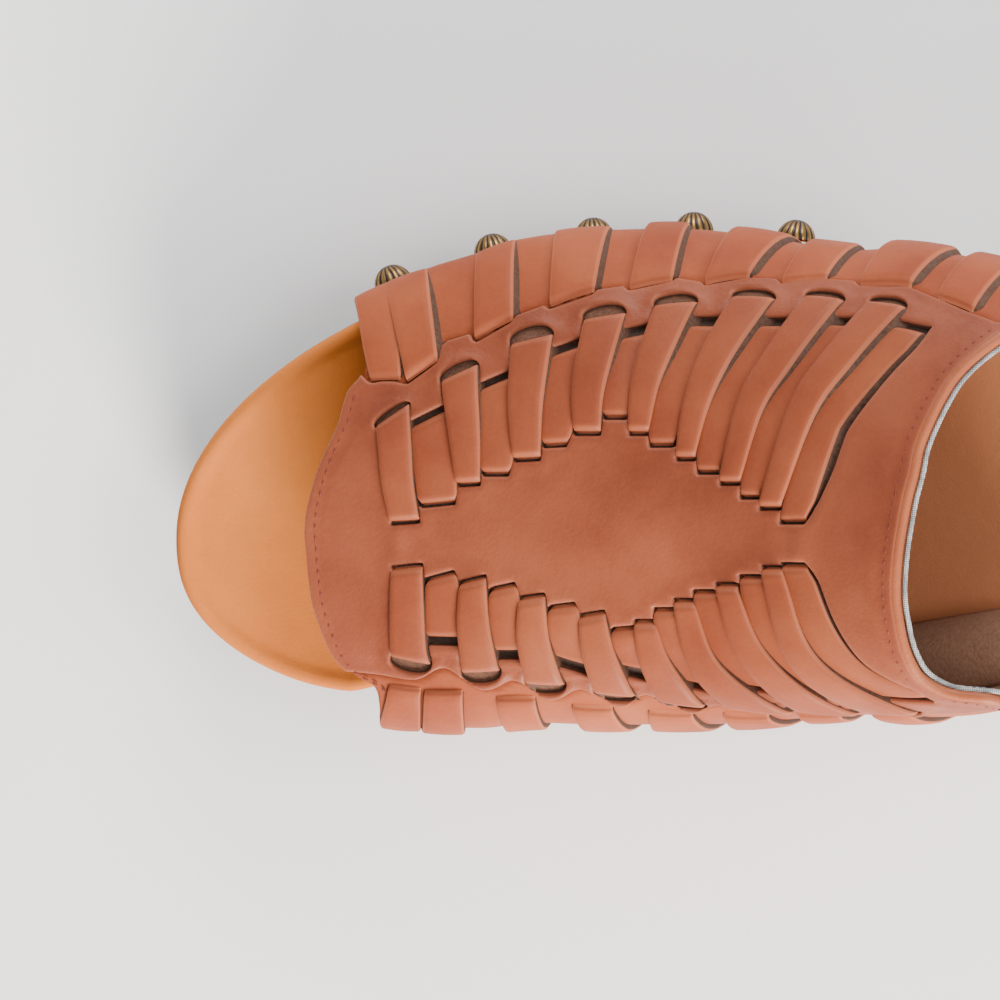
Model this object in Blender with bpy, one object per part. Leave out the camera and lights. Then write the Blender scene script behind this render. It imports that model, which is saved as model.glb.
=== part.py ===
"""Open-toe platform clog sandal for the right foot.

A woven leather upper is nailed with domed studs over the edge of a platform sole with a block heel.

The toe points to -X, the lateral (outer) side is +Y, the medial (inner) side is -Y and +Z is up.
The shoe is worked out with x running back from the toe tip and z up from the floor. The parent empty
then puts the origin at the bottom centre of the sandal's own box.
"""

import math

import bmesh
import bpy
from mathutils import Vector

# Driving dimensions, in metres
LENGTH = 0.245  # platform, toe tip to heel
BALL_WIDTH = 0.0866  # platform's top edge, at the ball of the foot
HEEL_WIDTH = 0.062
PLATFORM_HEIGHT = 0.025  # floor to the platform's top, at the ball
HEEL_HEIGHT = 0.070  # floor to the platform's top, at the heel
TOE_SPRING = 0.008  # floor to the outsole's tip
TOE_LIFT = 0.005  # rise of the platform's top edge at the toe
WAIST_THICKNESS = 0.0145  # platform, between forefoot and heel
OUTSOLE_THICKNESS = 0.003
HEEL_TREAD_THICKNESS = 0.005
INSOLE_THICKNESS = 0.004
INSOLE_RIM = 0.0030  # width of the footbed's rolled rim
INSOLE_DISH = 0.0008  # depth of the footbed inside its rim
INSTEP_HEIGHT = 0.054  # footbed to the vamp's crest, at the throat
UPPER_WALL = 0.0020
UPPER_BULGE = 0.0028  # upper's widest line beyond its lasted edge, at the ball
LASTING_MARGIN = 0.0130  # upper's edge below the platform's top
VAMP_FRONT = 0.0262  # toe tip to the vamp's front edge, on its crest
VAMP_LENGTH = 0.1180  # front edge to throat, along the crest
WING_LENGTH = 0.0510  # throat to the rear end of the upper's sides
STRAP_WIDTH = 0.0058
STRAP_RISE = 0.0016
TUCKED_STRAP_WIDTH = 0.0050
TUCKED_STRAP_RISE = 0.0009
SIDE_STRAP_WIDTH = 0.0086
SIDE_STRAP_PITCH = 0.0154
BAND_WIDTH = 0.0032
BAND_RISE = 0.0008
SLOT_LENGTH = 0.0036
SLOT_WIDTH = 0.0015
SLOT_DEPTH = 0.0050  # deep enough to go through the wall and what lies on it
STUD_DIAMETER = 0.0080
STUD_HEIGHT = 0.0042
STUD_PITCH = 0.0201
CLEARANCE = 0.0003  # between pieces that meet
LASTING_CLEARANCE = 0.0004  # between the upper's inner face and the platform

# Shape of the sole's outline
TOE_REACH = 0.090  # toe tip to where the outline reaches the ball's width
TOE_FULLNESS = 2.15
TOE_ROUNDNESS = 0.45
TOE_OFFSET = 0.0130  # toe tip, towards the medial side
TOE_SWING = 0.110  # stretch over which the centre line swings to the toe tip
BALL_REAR = 0.105
SEAT_FRONT = 0.192
HEEL_ROUND = 0.034  # length of the rounded rear end
HEEL_SQUARENESS = 2.2
ARCH_INSET = 0.003  # medial side, drawn in at the arch
ARCH_DEEPEST = 0.167
ARCH_END = 0.212
SIDE_TAPER = math.tan(math.radians(3.5))

# Shape of the sole's profile
TOE_BEND = 0.060  # toe tip to where the forefoot lies flat
RISE_START = 0.096  # where the footbed starts to climb to the heel
RISE_END = 0.215
WAIST_START = 0.106
WAIST_END = 0.150
BREAST_TOP = 0.172  # front of the heel, under the platform
BREAST_BOTTOM = 0.182  # front of the heel, on the floor
HEEL_TAPER = 0.004
EDGE_CHAMFER = 0.0012

# Profile of the insole's rim: distance in from the outline as a share of INSOLE_RIM, height as a share
# of INSOLE_THICKNESS
INSOLE_PROFILE = (
    ("inset", "height"),
    (0.13, 0.0),
    (0.03, 0.45),
    (0.27, 0.85),
    (0.75, 1.0),
    (1.5, 1.0),
)
DISH_INSET = 3.0  # where the dish reaches its depth, as a share of INSOLE_RIM

# Shape of the upper's sections
CREST_OFFSET = 0.0130  # crest line, towards the medial side
LATERAL_POWER = 1.9  # a larger power makes a fuller side
MEDIAL_POWER = 2.6
WIDEST_RISE = 0.010  # widest line above the footbed's rim, at the ball
WING_RISE = 0.006  # the same, behind the throat
FRONT_CURVE = 12.2  # how fast the front edge sweeps back to the sides, per metre
FRONT_SWEEP = 0.0125  # how far it sweeps back at most
RIM_LEVEL, EDGE_LEVEL = 2.0, 3.0  # levels down a section: 0 crest, 1 widest line, 2 rim, 3 lasted edge
STUD_DROP = 0.006  # stud's centre below the platform's top

# Sections of the upper: share of LENGTH, crest height as a share of INSTEP_HEIGHT, bulges of UPPER_BULGE
SECTIONS = (
    ("along", "crest", "lateral", "medial"),
    (0.08, 0.42, 0.90, 0.90),
    (0.25, 0.60, 1.00, 1.00),
    (0.41, 0.81, 1.10, 1.15),
    (0.60, 1.00, 2.10, 2.50),
    (0.80, 1.04, 0.90, 0.90),
)

# Weave: places as a share of VAMP_LENGTH along, and a level down the section, which is 0 on the crest
# and 1 on the widest line. "wing" holds the rear edge: level, share of WING_LENGTH behind the throat.
LATERAL = {
    "side": 1,
    "first": (0.158, 0.045),
    "corner": (0.516, 0.268),
    "last": (0.807, 0.046),
    "outer_first": 0.145,
    "outer_last": 1.010,
    "band": ((0.10, 0.31), (0.26, 0.42), (0.38, 0.49), (0.50, 0.54), (0.75, 0.585), (1.10, 0.575)),
    "wing": ((0, 0), (0.21, 0.09), (0.33, 0.17), (0.52, 0.36), (1.0, 0.69), (2.0, 0.93), (3.0, 1.0)),
    "side_start": 0.0475,
    "studs": 7,
}
MEDIAL = {
    "side": -1,
    "first": (0.170, 0.083),
    "corner": (0.531, 0.293),
    "last": (0.812, 0.073),
    "outer_first": 0.172,
    "outer_last": 1.010,
    "band": ((0.10, 0.42), (0.26, 0.48), (0.40, 0.53), (0.52, 0.58), (0.64, 0.63), (1.10, 0.65)),
    "wing": ((0, 0), (0.30, 0.02), (0.52, 0.09), (0.63, 0.28), (1.0, 0.66), (2.0, 0.93), (3.0, 1.0)),
    "side_start": 0.0530,
    "studs": 7,
}
STRAPS_PER_SIDE = 16
SLOT_INSET = 0.0025  # gap cut between a tucked strap's end and the band
STUD_START = 0.0430  # toe tip to the first stud
BAND_DROP = 0.5  # band's upper edge below the woven straps' ends, as a share of its width
BAND_OVERRUN = 0.02  # band beyond the first and last strap, as a share of VAMP_LENGTH
SIDE_STRAP_FOOT = 0.28  # side straps' lower end, as a share of the way from the rim to the lasted edge

LEATHER = (0.41, 0.14, 0.075)
NUBUCK = (0.72, 0.34, 0.15)
STACKED = (0.25, 0.12, 0.06)
RUBBER = (0.06, 0.045, 0.035)
BRASS = (0.42, 0.29, 0.12)


def smooth(value, start, end):
    """0 before start, 1 after end and an S-curve between."""
    share = min(1.0, max(0.0, (value - start) / (end - start)))
    return share * share * (3 - 2 * share)


def through(rows, value):
    """Smooth curve through (place, height) rows, with level tangents where the rows turn."""
    if value <= rows[0][0]:
        return rows[0][1]
    if value >= rows[-1][0]:
        return rows[-1][1]
    last = len(rows) - 1
    i = max(k for k in range(last) if rows[k][0] <= value)

    def slope(k):
        low, high = max(k - 1, 0), min(k + 1, last)
        return (rows[high][1] - rows[low][1]) / (rows[high][0] - rows[low][0])

    width = rows[i + 1][0] - rows[i][0]
    s = (value - rows[i][0]) / width
    return (
        (1 + 2 * s) * (1 - s) ** 2 * rows[i][1]
        + s * (1 - s) ** 2 * width * slope(i)
        + s * s * (3 - 2 * s) * rows[i + 1][1]
        - s * s * (1 - s) * width * slope(i + 1)
    )


# Outline and profile of the sole


def outline(x, side):
    """Y of the platform's top edge at x, on the lateral (1) or medial (-1) side."""
    x = min(max(x, 0.0), LENGTH)
    toe = (1 - (1 - min(x / TOE_REACH, 1)) ** TOE_FULLNESS) ** TOE_ROUNDNESS
    back = smooth(x, BALL_REAR, SEAT_FRONT)
    half = BALL_WIDTH / 2 * toe * (1 - back) + HEEL_WIDTH / 2 * back
    rounding = max(0.0, (x - LENGTH + HEEL_ROUND) / HEEL_ROUND)
    half *= (1 - rounding**HEEL_SQUARENESS) ** (1 / HEEL_SQUARENESS)
    middle = -TOE_OFFSET * max(0.0, 1 - x / TOE_SWING) ** 2
    arch = smooth(x, BALL_REAR, ARCH_DEEPEST) * (1 - smooth(x, ARCH_DEEPEST, ARCH_END))
    return middle + side * (half - (ARCH_INSET * arch if side < 0 else 0))


def station(share):
    """X at a share of the length, with the stations drawn together at the two round ends."""
    return LENGTH * (1 - math.cos(math.pi * share)) / 2


def share_at(x):
    """Share whose station lies at x."""
    return math.acos(1 - 2 * x / LENGTH) / math.pi


def edge(share, side, inset):
    """Point of the outline, moved inwards square to it."""
    step = 1e-4
    ahead, behind = station(min(share + step, 1.0)), station(max(share - step, 0.0))
    x = station(share)
    along = Vector((ahead - behind, outline(ahead, side) - outline(behind, side)))
    along.normalize()
    return Vector((x - side * inset * -along.y, outline(x, side) - side * inset * along.x))


def platform_top(x):
    lift = TOE_LIFT * max(0.0, 1 - x / TOE_BEND) ** 2
    return PLATFORM_HEIGHT + lift + (HEEL_HEIGHT - PLATFORM_HEIGHT) * smooth(x, RISE_START, RISE_END)


def platform_underside(x):
    sole = OUTSOLE_THICKNESS + CLEARANCE
    spring = TOE_SPRING * max(0.0, 1 - x / TOE_BEND) ** 2
    if x < TOE_BEND:
        return sole + spring
    thickness = PLATFORM_HEIGHT - sole
    thickness += (WAIST_THICKNESS - thickness) * smooth(x, WAIST_START, WAIST_END)
    return platform_top(x) - thickness


def footbed(x):
    """Height of the insole's rim."""
    return platform_top(x) + CLEARANCE + INSOLE_THICKNESS


# Surface of the upper


def side_slant(x, side):
    """How much longer a step along Y is than the same step square to the outline."""
    step = 0.0005
    slope = (outline(x + step, side) - outline(x - step, side)) / (2 * step)
    return math.sqrt(1 + slope * slope)


def section(x):
    """Crest height and the two bulges of the upper at x."""
    share = x / LENGTH
    columns = [through([(row[0], row[k]) for row in SECTIONS[1:]], share) for k in (1, 2, 3)]
    return columns[0] * INSTEP_HEIGHT, columns[1] * UPPER_BULGE, columns[2] * UPPER_BULGE


def half_span(x, side):
    """Distance along Y from the crest to the widest line, bulge included."""
    _, lateral, medial = section(x)
    reach = LASTING_CLEARANCE + UPPER_WALL + (lateral if side > 0 else medial)
    return side * outline(x, side) + reach * side_slant(x, side) + side * CREST_OFFSET


def surface(x, side, level):
    """Point of the upper's outer face, at a level down the section at x."""
    crest, lateral, medial = section(x)
    power = LATERAL_POWER if side > 0 else MEDIAL_POWER
    span = half_span(x, side)
    rise = WIDEST_RISE + (WING_RISE - WIDEST_RISE) * smooth(x, VAMP_FRONT + VAMP_LENGTH / 2, RISE_END)
    rim, widest = footbed(x), footbed(x) + rise
    if level <= 1:
        sine, cosine = math.sin(level * math.pi / 2), max(math.cos(level * math.pi / 2), 0.0)
        radius = (sine**power + cosine**power) ** (-1 / power)
        across = span * radius * sine
        height = widest + (crest - rise) * radius * cosine
        return Vector((x, side * across - CREST_OFFSET, height))
    bulge = (lateral if side > 0 else medial) * side_slant(x, side)
    if level <= RIM_LEVEL:
        share = level - 1
        across = span - bulge * math.sin(share * math.pi / 2) ** 2
        return Vector((x, side * across - CREST_OFFSET, widest + (rim - widest) * share))
    drop = (rim - platform_top(x) + LASTING_MARGIN) * (level - RIM_LEVEL)
    below_top = max(0.0, drop - (rim - platform_top(x)))
    across = span - bulge - below_top * SIDE_TAPER
    return Vector((x, side * across - CREST_OFFSET, rim - drop))


def outward(x, side, level):
    """Unit normal of the outer face."""
    step, level_step = 0.002, 0.01
    low, high = max(level - level_step, 0.0), min(level + level_step, EDGE_LEVEL)
    down = surface(x, side, high) - surface(x, side, low)
    along = surface(x + step, side, level) - surface(x - step, side, level)
    return (along.cross(down) * side).normalized()


def lifted(x, side, level, rise):
    return surface(x, side, level) + outward(x, side, level) * rise


def below(x, side, level, distance):
    """Level that lies a distance further down the section."""
    step = 0.01
    stretch = (surface(x, side, level + step) - surface(x, side, level)).length / step
    return level + distance / stretch


def front_edge(side, level):
    """X where the upper starts at this level: a curve in plan that levels off at the sides."""
    x = VAMP_FRONT
    rounds = 8  # enough for the edge and the section there to agree
    for _ in range(rounds):
        aside = surface(x, side, min(level, 1.0)).y + CREST_OFFSET
        sweep = FRONT_CURVE * aside * aside
        x = VAMP_FRONT + FRONT_SWEEP * math.tanh(sweep / FRONT_SWEEP)
    return x


def rear_edge(side, level):
    """X where the upper ends at this level: the throat's curve and the two wings."""
    layout = LATERAL if side > 0 else MEDIAL
    return VAMP_FRONT + VAMP_LENGTH + WING_LENGTH * through(layout["wing"], level)


# Mesh helpers


def material(name, colour, roughness, metallic=0.0):
    made = bpy.data.materials.new(name)
    made.use_nodes = True
    shader = made.node_tree.nodes["Principled BSDF"]
    shader.inputs["Base Color"].default_value = (*colour, 1)
    shader.inputs["Roughness"].default_value = roughness
    shader.inputs["Metallic"].default_value = metallic
    return made


def add_object(name, mesh, parent, surface_material):
    made = bpy.data.objects.new(name, mesh)
    mesh.materials.append(surface_material)
    bpy.context.scene.collection.objects.link(made)
    made.parent = parent
    return made


def guide(name, mesh, parent):
    """Helper object, in flat triangles, that cuts or adds to another and isn't part of the sandal."""
    made = bpy.data.objects.new(name, mesh)
    bpy.context.scene.collection.objects.link(made)
    made.parent = parent
    made.hide_render = True
    made.display_type = "WIRE"
    made.modifiers.new("Triangles", "TRIANGULATE")
    return made


def sheet_mesh(name, shape):
    mesh = bpy.data.meshes.new(name)
    shape.to_mesh(mesh)
    shape.free()
    return mesh


def faced_out(body):
    """Merges a closed body's doubled points and turns its faces out."""
    bmesh.ops.remove_doubles(body, verts=body.verts, dist=1e-6)
    bmesh.ops.recalc_face_normals(body, faces=body.faces)
    if body.calc_volume(signed=True) < 0:
        bmesh.ops.reverse_faces(body, faces=body.faces)
    return body


def add_body(shape, rings):
    """Adds a closed body through rings of points, each ring running the same way round."""
    body = bmesh.new()
    loops = [[body.verts.new(point) for point in ring] for ring in rings]
    count = len(rings[0])
    for a, b in zip(loops, loops[1:]):
        for k in range(count):
            n = (k + 1) % count
            body.faces.new((a[k], a[n], b[n], b[k]))
    body.faces.new(reversed(loops[0]))
    body.faces.new(loops[-1])
    piece = sheet_mesh("piece", faced_out(body))
    shape.from_mesh(piece)
    bpy.data.meshes.remove(piece)


def lofted(name, rings):
    shape = bmesh.new()
    add_body(shape, rings)
    return sheet_mesh(name, shape)


def add_sheet(shape, rows):
    """Sheet of quads through rows of points, added to a bmesh."""
    grid = [[shape.verts.new(point) for point in row] for row in rows]
    for a, b in zip(grid, grid[1:]):
        for k in range(len(a) - 1):
            shape.faces.new((a[k], b[k], b[k + 1], a[k + 1]))


def thicken(target, thickness):
    """Gives a sheet its thickness, inwards from its outer face, in flat triangles that cut cleanly."""
    wall = target.modifiers.new("Wall", "SOLIDIFY")
    wall.thickness = thickness
    wall.offset = -1
    wall.use_even_offset = True
    target.modifiers.new("Triangles", "TRIANGULATE")


def combine(target, operation, other):
    boolean = target.modifiers.new(other.name, "BOOLEAN")
    boolean.operation = operation
    boolean.solver = "MANIFOLD"
    boolean.object = other


# Sole


def sole_piece(name, column, reach, stations, surface_material, parent):
    """Closed piece between two shares of the length, through both sides' columns at each station."""
    start, end = reach
    rings = []
    for i in range(stations + 1):
        share = start + (end - start) * i / stations
        rings.append(column(share, 1) + column(share, -1)[::-1])
    return add_object(name, lofted(name, rings), parent, surface_material)


def platform_column(share, side):
    x = station(share)
    depth = platform_top(x) - platform_underside(x)
    column = []
    for level, chamfer in ((0, 0), (depth - EDGE_CHAMFER, 0), (depth, EDGE_CHAMFER)):
        point = edge(share, side, level * SIDE_TAPER + chamfer)
        top = platform_top(point.x)
        height = top - (top - platform_underside(point.x)) * level / depth
        column.append(Vector((point.x, point.y, height)))
    return column


def insole_column(share, side):
    """Footbed with a rolled rim and a shallow dish."""
    dish = (DISH_INSET, 1 - INSOLE_DISH / INSOLE_THICKNESS)
    column = []
    for inset, height in (*INSOLE_PROFILE[1:], dish):
        point = edge(share, side, inset * INSOLE_RIM)
        z = platform_top(point.x) + CLEARANCE + height * INSOLE_THICKNESS
        column.append(Vector((point.x, point.y, z)))
    return column


def outsole_column(share, side):
    """Tread that follows the platform's underside."""
    depth = platform_top(station(share)) - platform_underside(station(share))
    column = []
    for drop in (0, OUTSOLE_THICKNESS):
        point = edge(share, side, (depth + drop) * SIDE_TAPER + EDGE_CHAMFER)
        height = platform_underside(point.x) - CLEARANCE - drop
        column.append(Vector((point.x, point.y, height)))
    return column


def heel_place(share, side, level):
    """Plan position on the heel's side: share from breast to back, level from the platform to the floor."""
    start = share_at(BREAST_TOP + (BREAST_BOTTOM - BREAST_TOP) * level)
    inset = EDGE_CHAMFER + WAIST_THICKNESS * SIDE_TAPER + HEEL_TAPER * level
    return edge(start + (1 - start) * share, side, inset)


def heel_column(share, side):
    foot = HEEL_TREAD_THICKNESS + CLEARANCE
    levels = 4
    column = []
    for i in range(levels + 1):
        place = heel_place(share, side, i / levels)
        top = platform_underside(place.x) - CLEARANCE
        column.append(Vector((place.x, place.y, top + (foot - top) * i / levels)))
    return column


def heel_tread_column(share, side):
    place = heel_place(share, side, 1.0)
    return [Vector((place.x, place.y, height)) for height in (HEEL_TREAD_THICKNESS, 0.0)]


def build_sole(parent, stacked, nubuck, tread):
    whole = (0.0, 1.0)
    sole_piece("platform", platform_column, whole, 44, stacked, parent)
    sole_piece("insole", insole_column, whole, 32, nubuck, parent)
    sole_piece("outsole", outsole_column, (0.0, share_at(BREAST_TOP - CLEARANCE)), 32, tread, parent)
    sole_piece("heel", heel_column, whole, 16, stacked, parent)
    sole_piece("heel_tread", heel_tread_column, whole, 16, tread, parent)


# Upper


def wall_sheet():
    """Outer face of the upper, from its lateral to its medial lasted edge."""
    levels = (0.0, 0.14, 0.28, 0.40, 0.52, 0.64, 0.76, 0.88, 1.0, 1.2, 1.4, 1.6, 1.8, 2.0, 3.0)
    across = [(1, level) for level in reversed(levels)] + [(-1, level) for level in levels[1:]]
    shape = bmesh.new()
    steps = 22
    rows = []
    for side, level in across:
        start, end = front_edge(side, level), rear_edge(side, level)
        rows.append([surface(start + (end - start) * i / steps, side, level) for i in range(steps + 1)])
    add_sheet(shape, rows)
    return sheet_mesh("upper", shape)


def slab_ring(pair, rise, depth):
    """Four corners of a strip's cross-section, from its left and right place on the upper's surface."""
    left, right = pair
    return [lifted(*left, rise), lifted(*right, rise), lifted(*right, -depth), lifted(*left, -depth)]


def vamp_x(along):
    """X at a share of the vamp's length."""
    return VAMP_FRONT + along * VAMP_LENGTH


def strap_ends(layout, number):
    """Inner and outer end of a woven strap, as shares along and levels."""
    half = STRAPS_PER_SIDE // 2
    if number < half:
        share = number / (half - 1)
        start, end = layout["first"], layout["corner"]
    else:
        share = (number - half + 1) / half
        start, end = layout["corner"], layout["last"]
    inner = (start[0] + (end[0] - start[0]) * share, start[1] + (end[1] - start[1]) * share)
    step = (layout["outer_last"] - layout["outer_first"]) / (STRAPS_PER_SIDE - 1)
    along = layout["outer_first"] + step * number
    level = through(layout["band"], along)
    if number % 2:
        level = below(vamp_x(along), layout["side"], level, -SLOT_INSET)
    return inner, (along, level)


def tucked_straps(layout, shape):
    """Every second woven strip, which passes lower."""
    woven_straps(layout, shape, range(1, STRAPS_PER_SIDE, 2), TUCKED_STRAP_WIDTH, TUCKED_STRAP_RISE)


def over_straps(layout, shape):
    woven_straps(layout, shape, range(0, STRAPS_PER_SIDE, 2), STRAP_WIDTH, STRAP_RISE)


def woven_straps(layout, shape, numbers, width, rise):
    """Raised strips between the smooth panel and the band."""
    steps = 5
    for number in numbers:
        inner, outer = strap_ends(layout, number)
        rings = []
        for i in range(steps + 1):
            x = vamp_x(inner[0] + (outer[0] - inner[0]) * i / steps)
            level = inner[1] + (outer[1] - inner[1]) * i / steps
            pair = [(x + aside, layout["side"], level) for aside in (-width / 2, width / 2)]
            rings.append(slab_ring(pair, rise, UPPER_WALL / 2))
        add_body(shape, rings)


def side_straps(layout, shape):
    """Raised strips that run down the side, from the band to the footbed's rim."""
    side = layout["side"]
    steps = 8
    lowest = RIM_LEVEL + SIDE_STRAP_FOOT
    level_step = 0.02
    room = rear_edge(side, lowest) - SIDE_STRAP_WIDTH / 2 - layout["side_start"]
    for number in range(int(room / SIDE_STRAP_PITCH) + 1):
        foot = layout["side_start"] + SIDE_STRAP_PITCH * number
        top = below(foot, side, through(layout["band"], (foot - VAMP_FRONT) / VAMP_LENGTH), BAND_WIDTH)
        while rear_edge(side, top) < foot:
            top += level_step
        rings = []
        for i in range(steps + 1):
            level = top + (lowest - top) * i / steps
            end = rear_edge(side, level) - EDGE_CHAMFER
            edges = (foot - SIDE_STRAP_WIDTH / 2, foot + SIDE_STRAP_WIDTH / 2)
            pair = [(min(x, end), side, level) for x in edges]
            rings.append(slab_ring(pair, STRAP_RISE, UPPER_WALL / 2))
        add_body(shape, rings)


def bands(layout, shape):
    """Raised rib between the woven straps and the side straps."""
    side = layout["side"]
    steps = 18
    start, end = layout["outer_first"] - BAND_OVERRUN, layout["outer_last"] + BAND_OVERRUN
    rings = []
    for i in range(steps + 1):
        along = start + (end - start) * i / steps
        x, level = vamp_x(along), through(layout["band"], along)
        drops = (BAND_DROP * BAND_WIDTH, (BAND_DROP + 1) * BAND_WIDTH)
        pair = [(x, side, below(x, side, level, drop)) for drop in drops]
        rings.append(slab_ring(pair, BAND_RISE, UPPER_WALL / 2))
    add_body(shape, rings)


def weave_slots(layout, shape):
    """Gaps through the wall, at the outer end of each tucked strap."""
    side = layout["side"]
    for number in range(1, STRAPS_PER_SIDE - 1, 2):
        _, (along, level) = strap_ends(layout, number)
        rings = []
        for aside in (-SLOT_LENGTH / 2, SLOT_LENGTH / 2):
            x = vamp_x(along) + aside
            ends = [SLOT_INSET / 2 + down for down in (-SLOT_WIDTH / 2, SLOT_WIDTH / 2)]
            pair = [(x, side, below(x, side, level, down)) for down in ends]
            rings.append(slab_ring(pair, STRAP_RISE, SLOT_DEPTH))
        add_body(shape, rings)


def build_upper(parent, surface_material):
    upper = add_object("upper", wall_sheet(), parent, surface_material)
    thicken(upper, UPPER_WALL)
    steps = (
        ("tucked_guide", tucked_straps, "UNION"),
        ("over_guide", over_straps, "UNION"),
        ("side_guide", side_straps, "UNION"),
        ("band_guide", bands, "UNION"),
        ("slot_guide", weave_slots, "DIFFERENCE"),
    )
    for name, draw, operation in steps:
        shape = bmesh.new()
        for layout in (LATERAL, MEDIAL):
            draw(layout, shape)
        combine(upper, operation, guide(name, sheet_mesh(name, shape), parent))


# Studs


def stud_mesh():
    """Domed nail head, turned about +Z, with its flat back at the origin."""
    shape = bmesh.new()
    radius = STUD_DIAMETER / 2
    profile = [
        Vector((radius * math.cos(turn), 0, STUD_HEIGHT * math.sin(turn)))
        for turn in (0, math.radians(30), math.radians(60), math.radians(90))
    ]
    profile[-1].x = 0
    points = [shape.verts.new(point) for point in [Vector((0, 0, 0))] + profile]
    spokes = [shape.edges.new(pair) for pair in zip(points, points[1:])]
    turn = {"cent": (0, 0, 0), "axis": (0, 0, 1), "angle": math.tau, "steps": 14, "use_merge": True}
    bmesh.ops.spin(shape, geom=points + spokes, **turn)
    mesh = sheet_mesh("stud", faced_out(shape))
    mesh.shade_smooth()
    return mesh


def build_studs(parent, surface_material):
    mesh = stud_mesh()
    mesh.materials.append(surface_material)
    for layout, word in ((LATERAL, "lateral"), (MEDIAL, "medial")):
        side = layout["side"]
        for number in range(layout["studs"]):
            x = STUD_START + STUD_PITCH * number
            above = footbed(x) - platform_top(x)
            level = RIM_LEVEL + (above + STUD_DROP) / (above + LASTING_MARGIN)
            stud = bpy.data.objects.new(f"stud_{word}_{number + 1:02d}", mesh)
            bpy.context.scene.collection.objects.link(stud)
            stud.parent = parent
            stud.location = lifted(x, side, level, CLEARANCE)
            stud.rotation_euler = outward(x, side, level).to_track_quat("Z", "Y").to_euler()


def centre_on_floor(parent, pieces):
    """Moves the parent so that the origin is at the bottom centre of the sandal's box."""
    bpy.context.view_layer.update()
    graph = bpy.context.evaluated_depsgraph_get()
    points = []
    for piece in pieces:
        shown = piece.evaluated_get(graph)
        points += [shown.matrix_world @ vertex.co for vertex in shown.data.vertices]
    low = [min(point[axis] for point in points) for axis in range(3)]
    high = [max(point[axis] for point in points) for axis in range(3)]
    parent.location = (-(low[0] + high[0]) / 2, -(low[1] + high[1]) / 2, -low[2])


def main():
    for leftover in list(bpy.data.objects):
        bpy.data.objects.remove(leftover)
    sandal = bpy.data.objects.new("sandal", None)
    bpy.context.scene.collection.objects.link(sandal)
    leather = material("cognac_leather", LEATHER, 0.45)
    nubuck = material("tan_nubuck", NUBUCK, 0.8)
    stacked = material("stacked_brown", STACKED, 0.5)
    tread = material("dark_rubber", RUBBER, 0.7)
    brass = material("antique_brass", BRASS, 0.35, 1.0)
    build_sole(sandal, stacked, nubuck, tread)
    build_upper(sandal, leather)
    build_studs(sandal, brass)
    pieces = [piece for piece in bpy.data.objects if piece.type == "MESH" and not piece.hide_render]
    centre_on_floor(sandal, pieces)


main()
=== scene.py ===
"""Looks of an open-toe platform sandal with a woven leather upper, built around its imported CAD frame."""
import math

import bmesh
import bpy
import numpy as np
from mathutils import Matrix, Vector
from mathutils.geometry import delaunay_2d_cdt
from mathutils.kdtree import KDTree


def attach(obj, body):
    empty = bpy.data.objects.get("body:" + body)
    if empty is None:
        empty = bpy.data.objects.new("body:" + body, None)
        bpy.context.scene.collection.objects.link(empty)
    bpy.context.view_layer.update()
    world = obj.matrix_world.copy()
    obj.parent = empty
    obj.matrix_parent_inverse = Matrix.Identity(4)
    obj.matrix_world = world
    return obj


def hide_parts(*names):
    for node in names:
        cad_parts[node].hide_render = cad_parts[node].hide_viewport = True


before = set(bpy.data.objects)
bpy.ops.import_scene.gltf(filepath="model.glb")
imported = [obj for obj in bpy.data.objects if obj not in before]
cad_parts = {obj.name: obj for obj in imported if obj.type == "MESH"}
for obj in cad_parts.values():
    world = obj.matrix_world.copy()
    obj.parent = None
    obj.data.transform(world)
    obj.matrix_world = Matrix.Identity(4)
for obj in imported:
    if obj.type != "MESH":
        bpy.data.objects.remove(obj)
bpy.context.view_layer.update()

# Sizes of the sandal, in metres, as the CAD source has them
LENGTH = 0.245
BALL_WIDTH = 0.0866
HEEL_WIDTH = 0.062
PLATFORM_HEIGHT = 0.025
HEEL_HEIGHT = 0.070
TOE_SPRING = 0.008
TOE_LIFT = 0.005
WAIST_THICKNESS = 0.0145
OUTSOLE_THICKNESS = 0.003
HEEL_TREAD_THICKNESS = 0.005
INSOLE_RIM = 0.0030
INSOLE_THICKNESS = 0.004
INSTEP_HEIGHT = 0.054
UPPER_WALL = 0.0020
UPPER_BULGE = 0.0028
LASTING_MARGIN = 0.0130
VAMP_FRONT = 0.0262
VAMP_LENGTH = 0.1180
WING_LENGTH = 0.0510
STUD_DIAMETER = 0.0080
STUD_HEIGHT = 0.0042
STUD_PITCH = 0.0201
STUD_START = 0.0430
STUD_DROP = 0.006
CLEARANCE = 0.0003
LASTING_CLEARANCE = 0.0004
TOE_REACH = 0.090
TOE_FULLNESS = 2.15
TOE_ROUNDNESS = 0.45
TOE_OFFSET = 0.0130
TOE_SWING = 0.110
BALL_REAR = 0.105
SEAT_FRONT = 0.192
HEEL_ROUND = 0.034
HEEL_SQUARENESS = 2.2
ARCH_INSET = 0.003
ARCH_DEEPEST = 0.167
ARCH_END = 0.212
SIDE_TAPER = math.tan(math.radians(3.5))
TOE_BEND = 0.060
RISE_START = 0.096
RISE_END = 0.215
WAIST_START = 0.106
WAIST_END = 0.150
BREAST_TOP = 0.172
BREAST_BOTTOM = 0.182
HEEL_TAPER = 0.004
EDGE_CHAMFER = 0.0012
CREST_OFFSET = 0.0130
LATERAL_POWER = 1.9
MEDIAL_POWER = 2.6
WIDEST_RISE = 0.010
WING_RISE = 0.006

# What the photograph asks for beyond the CAD: a fuller medial toe edge, nail heads further out and further back
TOE_FILL = 0.0024
STUD_REST = 0.0013
STUD_SHIFT = 0.0022

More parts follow.
